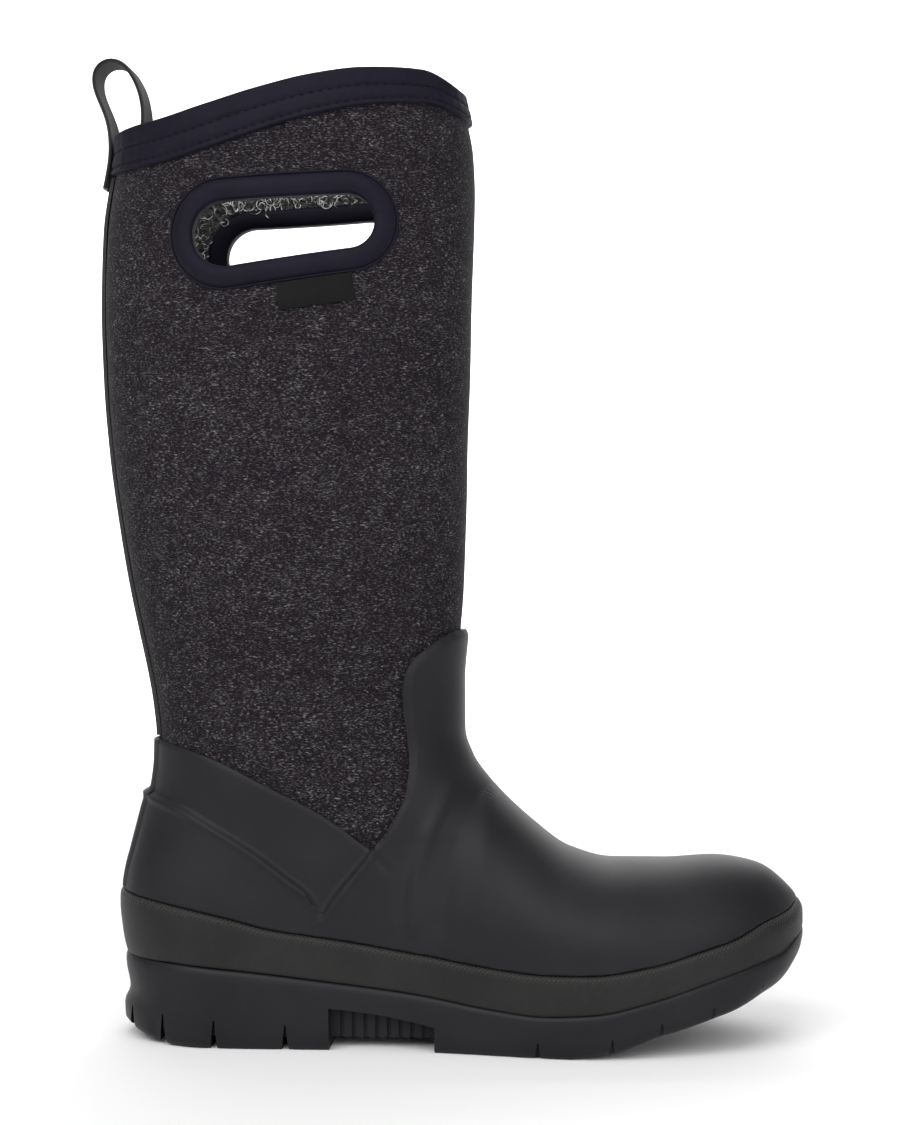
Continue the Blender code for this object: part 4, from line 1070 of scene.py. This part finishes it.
def makeCollar():
    fine = Net(np.linspace(19, topRing, 121), 170)
    columns = fine.points.shape[1]
    half = (columns - 1) // 2
    u = np.minimum(np.arange(columns), columns - 1 - np.arange(columns)) / half
    topZ = fine.z()[-1]
    thick = collar["thick"]
    jitter = 1 + 0.08 * np.sin(np.arange(columns) * 0.9) * np.sin(np.arange(columns) * 0.37)
    jitter[-1] = jitter[0]                 # first and last column are one seam

    def leg(depth, share):                 # heights along the columns, share of the leg's depth down
        line = topZ - depth * collarShare(u) * share
        above = fine.z() - line[None, :]
        found = np.array([np.interp(0, above[:, j], fine.heights) for j in range(columns)])
        return np.clip(found, 0, topRing)

    def puff(share):                       # pad between the rows of stitches
        dip = sum(np.exp(-((share - row) / 0.055) ** 2) for row in collar["rows"])
        edge = np.clip((1 - share) / 0.07, 0, 1)
        return (0.35 + 0.65 * np.sqrt(1 - (1 - edge) ** 2)) * (1 - 0.30 * min(dip, 1.0))

    rows = []
    shares = [1.0, 0.985, 0.965, 0.94, 0.91, 0.88, 0.855, 0.84, 0.825, 0.80, 0.76, 0.70, 0.63, 0.56,
              0.50, 0.46, 0.435, 0.42, 0.405, 0.38, 0.34, 0.28, 0.20, 0.12, 0.05, 0.0]
    for share in shares:
        rows.append(alongColumns(fine, leg(collar["depth"], share), gap + thick * puff(share) * jitter))
    outerTop = alongColumns(fine, np.full(columns, topRing), np.full(columns, 0.0))
    middleLine = alongColumns(fine, np.full(columns, topRing), np.full(columns, -wall / 2))
    across = outerTop - middleLine
    across /= np.linalg.norm(across, axis=1, keepdims=True)
    reach = wall / 2 + gap + thick
    for i in range(1, 16):
        angle = pi * i / 16
        lift = gap + thick
        row = middleLine + across * (reach * cos(angle))
        row[:, 2] += lift * sin(angle) ** 0.8
        rows.append(row)
    for share in (0, 0.2, 0.4, 0.6, 0.8, 0.93, 1.0):
        rows.append(alongColumns(fine, leg(collar["innerDepth"], share),
                                 np.full(columns, -wall - gap - thick * (1 if share < 0.9 else 0.6))))
    for share in (1.0, 0.5, 0.0):
        rows.append(alongColumns(fine, leg(collar["innerDepth"], share), np.full(columns, -wall - gap)))
    rim = rows[-1].copy()
    rim[:, 2] += gap
    far = outerTop.copy() + across * gap
    far[:, 2] += gap
    rows += [rim, far]
    for share in (0.3, 0.65, 1.0):
        rows.append(alongColumns(fine, leg(collar["depth"], share), np.full(columns, gap)))
    rows.append(rows[0])
    piece = layNet(np.array(rows))
    finished(piece, "collarBinding", "binding", angle=60)
    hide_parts("collar_binding")

    stitches = []
    for row in collar["rows"]:
        line = alongColumns(fine, leg(collar["depth"], row), gap + thick * puff(row) * jitter)
        skin = alongColumns(fine, leg(collar["depth"], row), gap + thick + 1 * mm)
        stitches += stitchesAlong(line, skin - line, collar["pitch"], collar["stitch"], collar["thread"])
    rowOfStitches = layNets(stitches, caps=True)
    finished(rowOfStitches, "collarStitches", "thread", angle=60)


def stitchesAlong(line, outward, pitch, size, thick):
    run = np.concatenate([[0], np.cumsum(np.linalg.norm(np.diff(line, axis=0), axis=1))])

    def at(place, table):
        return Vector([float(np.interp(place, run, table[:, axis])) for axis in range(3)])

    count = int(run[-1] / pitch)
    made = []
    for i in range(count):
        centre = run[-1] * (i + 0.5) / count
        out = at(centre, outward).normalized()
        sections = []
        for k in range(7):                 # an arched thread that dives in at both ends
            share = k / 6 - 0.5
            spot = at(centre + share * size, line)
            ahead = (at(centre + share * size + 1e-4, line) - spot).normalized()
            side = ahead.cross(out).normalized()
            full = thick * (0.55 if k in (0, 6) else 0.95 if k in (1, 5) else 1)
            lift = thick * (0.30 - 1.6 * (2 * share) ** 4)
            sections.append([tuple(spot + out * (lift + full * 0.5 * cos(a)) + side * full * 0.5 * sin(a))
                             for a in (0, pi / 3, 2 * pi / 3, pi, 4 * pi / 3, 5 * pi / 3, 0)])
        made.append(np.array(sections))
    return made


makeCollar()
print("collar made")


# ---- Handle bindings

ring = {
    "pad": 1.8 * mm, "flange": 8.0 * mm, "lip": 1.5 * mm,
    "seam": (0.0615, 0.3170), "seamTop": 0.327, "seamLean": 0.6,
    "pleat": 0.55 * mm, "pleatPitch": 1.0 * mm, "pleatReach": 3.0 * mm,
    "fold": 0.22 * mm, "foldRates": (43, 71),
}


def onSide(x, z, side, offset):            # over a side of the shaft, offset along its normal
    x, z = np.asarray(x, float), np.asarray(z, float)
    small = 0.0005
    width = bootWidth(x, z, side)
    slopeX = (bootWidth(x + small, z, side) - bootWidth(x - small, z, side)) / (2 * small)
    slopeZ = (bootWidth(x, z + small, side) - bootWidth(x, z - small, side)) / (2 * small)
    stretch = np.sqrt(1 + slopeX ** 2 + slopeZ ** 2)
    return np.stack([x, middle(x) + side * (width + offset * stretch), z], axis=-1)


def makeHandleBindings():
    pad, flange = ring["pad"], ring["flange"]
    inside = -wall - 2 * gap
    lip = -gap - ring["lip"]
    profile = []                           # how far out of the hole's outline, and how far off the wall
    for share in (1.0, 0.985, 0.955, 0.93, 0.905, 0.885, 0.868, 0.855, 0.84, 0.81, 0.76, 0.69, 0.60,
                  0.50, 0.40, 0.30, 0.20, 0.11):
        edge = min(1, (1 - share) / 0.06)
        rim = pad * (0.20 + 0.30 * (1 - (1 - edge) ** 2) ** 0.5)
        groove = 1 - 0.85 * np.exp(-((share - 0.868) / 0.020) ** 2)
        body = pad * (0.10 + 1.45 * max(0, 1 - ((share - 0.34) / 0.525) ** 2) ** 0.5)
        profile.append((flange * share, gap + (rim * groove if share > 0.862 else body)))
    for i in range(9):
        angle = pi / 2 * i / 8
        profile.append((lip + (flange * 0.05 - lip) * (1 - sin(angle)), (gap + pad * 1.28) * cos(angle)))
    profile += [(lip, -wall * 0.33), (lip, -wall * 0.66), (lip, -wall)]
    for i in range(1, 7):
        angle = pi / 2 * i / 6
        profile.append((lip + (flange * 0.3 - lip) * (1 - cos(angle)), inside - pad * sin(angle)))
    profile += [(flange * 0.55, inside - pad * 0.95), (flange * 0.74, inside - pad * 0.6),
                (flange * 0.8, inside), (flange * 0.3, inside), (-gap, inside), (-gap, -wall / 2),
                (-gap, gap), (flange * 0.5, gap), (flange, gap), profile[0]]
    outlines = {}
    for side, word in ((lateral, "lateral"), (medial, "medial")):
        rows = []
        for grow, offset in profile:
            key = round(grow, 7)
            if key not in outlines:
                outlines[key] = np.array(handleOutline(grow, 34, 24))
            outline = outlines[key]
            x, z = outline[:, 0], outline[:, 1]
            seamX, seamZ = ring["seam"]
            slant = x - seamX - (z - seamZ) * ring["seamLean"]
            near = np.exp(-(slant / ring["pleatReach"]) ** 2) * (z < ring["seamTop"])
            pleat = np.sin(slant / ring["pleatPitch"]) * near
            turn = np.arctan2(z - handle["height"], x - handle["run"])
            ends = np.clip(np.abs(x - handle["run"]) / handle["span"] * 2 - 0.75, 0, 1)
            first, second = ring["foldRates"]
            folds = ends * (np.sin(turn * first) + np.sin(turn * second + 1)) * 0.5
            outer = np.clip(offset / (gap + pad), 0, 1)
            waves = pleat * ring["pleat"] + folds * ring["fold"]
            spots = onSide(x, z, side, offset + outer * waves)
            rows.append(np.concatenate([spots, spots[:1]]))
        piece = layNet(np.array(rows))
        finished(piece, "handleBinding" + word.title(), "binding", angle=70)
        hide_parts("handle_binding_" + word)


makeHandleBindings()
print("handles made")


# ---- Curly pile that shows through the handle holes

curls = {"count": 430, "thick": 0.46 * mm, "reach": 15.0 * mm, "seed": 12}


def makeCurls():
    chance = np.random.default_rng(curls["seed"])
    nets = []
    for side in (lateral, medial):
        for _ in range(curls["count"]):
            grow = chance.uniform(0.78, 1.0) * ring["flange"] + curls["reach"] * chance.uniform(0, 1) ** 1.3
            outline = handleOutline(grow)
            x, z = outline[int(chance.uniform(0, 1) * len(outline)) % len(outline)]
            t = np.linspace(0, 1, 9)
            heading = chance.uniform(0, 2 * pi) + chance.uniform(2.5, 5.5) * chance.choice([-1, 1]) * t
            stride = chance.uniform(5.5, 11.5) * mm / 8
            pathX = x + np.cumsum(np.cos(heading)) * stride
            pathZ = z + np.cumsum(np.sin(heading)) * stride
            lift = chance.uniform(0.8, 2.4) * mm * np.sin(pi * (0.15 + 0.8 * t))
            path = onSide(pathX, pathZ, side, -wall - 0.2 * mm - lift)
            along = np.gradient(path, axis=0)
            along /= np.linalg.norm(along, axis=1, keepdims=True)
            first = np.cross(along, (0.2, side, 0.1))
            first /= np.linalg.norm(first, axis=1, keepdims=True)
            second = np.cross(along, first)
            thick = curls["thick"] / 2 * np.sin(pi * (0.12 + 0.76 * t)) ** 0.5
            angles = np.linspace(0, 2 * pi, 6)
            angles[-1] = 0
            nets.append(np.stack([path + (first * cos(a) + second * sin(a)) * thick[:, None]
                                  for a in angles], axis=1))
    piece = layNets(nets, caps=True)
    finished(piece, "liningCurls", "curl")


makeCurls()
print("curls made")


# ---- Pull loop of webbing

loop = {
    "width": 0.021, "thick": 1.8 * mm, "rise": 0.032, "leg": 0.023,
    # forward and up in shares of the rise, and how far the width follows the wall's curve
    "path": [
        (-0.06, 0.25, 0.80), (-0.17, 0.54, 0.50), (-0.21, 0.73, 0.25), (-0.17, 0.90, 0.10),
        (-0.02, 1.00, 0.00), (0.15, 0.97, 0.00), (0.31, 0.79, 0.10), (0.40, 0.56, 0.40),
        (0.43, 0.33, 0.75), (0.42, 0.14, 1.00),
    ],
}


def makePullLoop():
    thick, binding = loop["thick"], last["bindingThick"]
    outer = gap + binding + 2 * gap + thick / 2
    inner = -wall - gap - binding - 2 * gap - thick / 2
    rim = last["collarHeight"] * float(collarCurve(0))
    count = 12
    widths = [loop["width"] * (i / count - 0.5) for i in range(count + 1)]
    rows = [[backSurface(y, rim - loop["leg"] * (1 - i / 4), outer) for y in widths] for i in range(4)]
    start = [backSurface(y, rim - binding, outer) for y in widths]
    centre = start[count // 2]
    for forward, rise, bend in loop["path"]:
        rows.append([Vector((centre.x + forward * loop["rise"] + (edge.x - centre.x) * bend, y,
                             rim + rise * loop["rise"])) for y, edge in zip(widths, start)])
    for i in range(3):
        z = rim - binding - (collar["innerDepth"] - binding) * i / 2
        rows.append([backSurface(y, z, inner) for y in widths])
    rows = np.array([[tuple(point) for point in row] for row in rows])
    mid = rows[:, count // 2]
    run = np.concatenate([[0], np.cumsum(np.linalg.norm(np.diff(mid, axis=0), axis=1))])
    places = np.linspace(0, run[-1], 90)
    fine = np.empty((90, count + 1, 3))
    for column in range(count + 1):
        for axis in range(3):
            fine[:, column, axis] = naturalCurve(run, rows[:, column, axis], places)
    along = np.gradient(fine, axis=0)
    along /= np.linalg.norm(along, axis=2, keepdims=True)
    out = np.stack([-along[..., 2], along[..., 1] * 0, along[..., 0]], axis=2)
    out /= np.linalg.norm(out, axis=2, keepdims=True)
    near = np.minimum(1, (loop["width"] / 2 - np.abs(np.array(widths))) / (0.9 * mm))
    full = thick / 2 * (0.45 + 0.55 * np.sqrt(1 - (1 - near) ** 2))
    upper = fine + out * full[None, :, None]
    lower = (fine - out * full[None, :, None])[:, ::-1]
    sections = np.concatenate([upper, lower, upper[:, :1]], axis=1)
    piece = layNet(sections, uv=measured(sections), caps=True)
    finished(piece, "pullLoop", "webbing", angle=50)
    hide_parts("pull_loop")


def naturalCurve(xs, ys, places):          # smooth cubic through points, with free ends
    count = len(xs)
    gaps = np.diff(xs)
    matrix, right = np.eye(count), np.zeros(count)
    for i in range(1, count - 1):
        matrix[i, i - 1:i + 2] = (gaps[i - 1], 2 * (gaps[i - 1] + gaps[i]), gaps[i])
        right[i] = 6 * ((ys[i + 1] - ys[i]) / gaps[i] - (ys[i] - ys[i - 1]) / gaps[i - 1])
    bend = np.linalg.solve(matrix, right)
    i = np.clip(np.searchsorted(xs, places, side="right") - 1, 0, count - 2)
    a, b, h = xs[i + 1] - places, places - xs[i], gaps[i]
    return (bend[i] * a ** 3 + bend[i + 1] * b ** 3) / (6 * h) + \
        (ys[i] / h - bend[i] * h / 6) * a + (ys[i + 1] / h - bend[i + 1] * h / 6) * b


makePullLoop()
print("loop made")


# ---- Bare tag under the outer handle

tag = {"height": 11.0 * mm, "thick": 0.8 * mm, "span": (0.36, 0.98)}


def makeTag():
    (backAtX, backAtZ, backRadius), (frontAtX, frontAtZ, frontRadius) = handleEnds(0)
    lean = acos((handle["backRadius"] - handle["frontRadius"]) / handle["span"])
    angle = handle["tilt"] - lean
    top = ring["flange"] + gap
    rows = []
    profile = [(top, gap)]
    profile += [(top + tag["height"] * share, gap) for share in (0.3, 0.6, 0.9, 1.0)]
    profile += [(top + tag["height"] * share, gap + tag["thick"] * (0.75 if share > 0.99 else 1))
                for share in (1.0, 0.96, 0.8, 0.6, 0.4, 0.2, 0.0)]
    for i in range(25):
        share = tag["span"][0] + (tag["span"][1] - tag["span"][0]) * i / 24
        centreX = backAtX + (frontAtX - backAtX) * share
        centreZ = backAtZ + (frontAtZ - backAtZ) * share
        radius = backRadius + (frontRadius - backRadius) * share
        reach = np.array([point[0] for point in profile])
        offset = np.array([point[1] for point in profile])
        curl = 0.25 * mm * (i / 24 - 0.5) ** 2 * 4 * (reach - top) / tag["height"]
        row = onSide(centreX + cos(angle) * (radius + reach), centreZ + sin(angle) * (radius + reach),
                     lateral, offset + curl)
        rows.append(np.concatenate([row, row[:1]]))
    piece = layNet(np.array(rows), caps=True)
    finished(piece, "bareTag", "tag", angle=50)
    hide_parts("label_tab")


makeTag()
print("tag made")


# ---- Floor, light and camera

studio = {
    "floor": (0.90, 0.90, 0.90), "world": (1.0, 1.0, 1.0), "worldStrength": 0.31,
    "cameraAway": 1.0, "aimRun": 0.1387, "cameraHeight": 0.217, "yaw": 3.8,
    "focalPixels": 2358, "imageSize": (900, 1125), "horizonPixel": 520,
}


def makeStudio():
    bpy.ops.object.select_all(action="DESELECT")
    bpy.ops.mesh.primitive_plane_add(size=8, location=(0, 0, 0))
    floor = bpy.context.active_object
    floor.name = "studioFloor"
    bpy.ops.object.mode_set(mode="EDIT")
    bpy.ops.mesh.select_all(action="DESELECT")
    work = bmesh.from_edit_mesh(floor.data)
    for edge in work.edges:
        edge.select_set(all(vertex.co.y > 3.9 for vertex in edge.verts))
    bmesh.update_edit_mesh(floor.data)
    bpy.ops.mesh.extrude_region_move(TRANSFORM_OT_translate={"value": (0, 0, 5)})
    bpy.ops.object.mode_set(mode="OBJECT")
    bend = floor.modifiers.new("sweep", "BEVEL")
    bend.width = 2.0
    bend.segments = 16
    bpy.ops.object.modifier_apply(modifier="sweep")
    bpy.ops.object.shade_smooth()
    paper = Finish("paperFloor", baseColor=studio["floor"], roughness=0.85, specularLevel=0.1)
    floor.data.materials.append(paper.material)

    world = bpy.data.worlds.new("softRoom")
    bpy.context.scene.world = world
    world.use_nodes = True
    glow = world.node_tree.nodes["Background"]
    glow.inputs["Color"].default_value = (*studio["world"], 1.0)
    glow.inputs["Strength"].default_value = studio["worldStrength"]

    lights = [                              # place, aim, size, power
        ("keyLight", (-0.6, -1.7, 1.6), (0.05, 0, 0.15), 1.9, 47),
        ("topLight", (0.35, -0.25, 2.1), (0.10, 0, 0.10), 1.6, 6),
        ("fillLight", (1.3, -1.8, 1.0), (0.12, 0, 0.08), 1.5, 17),
        ("backdropLight", (0.0, 2.0, 2.8), (0.0, 4.2, 1.0), 3.0, 210),
    ]
    for name, place, aim, size, power in lights:
        bpy.ops.object.light_add(type="AREA", location=place)
        light = bpy.context.active_object
        light.name = name
        light.data.size = size
        light.data.energy = power
        light.rotation_euler = (Vector(aim) - Vector(place)).to_track_quat("-Z", "Y").to_euler()

    yaw = radians(studio["yaw"])
    aim = Vector((studio["aimRun"] - length * last["seatRun"], 0, studio["cameraHeight"]))
    look = Vector((-sin(yaw), cos(yaw), 0))
    bpy.ops.object.camera_add(location=aim - look * studio["cameraAway"], rotation=(pi / 2, 0, yaw))
    camera = bpy.context.active_object
    camera.name = "photoCamera"
    camera.data.sensor_width = 36
    camera.data.lens = studio["focalPixels"] / studio["imageSize"][1] * 36
    camera.data.shift_y = (studio["horizonPixel"] - studio["imageSize"][1] / 2) / studio["imageSize"][1]
    camera.data.clip_start = 0.05
    bpy.context.scene.camera = camera
    bpy.context.scene.view_settings.view_transform = "Standard"


makeStudio()
print("studio made")
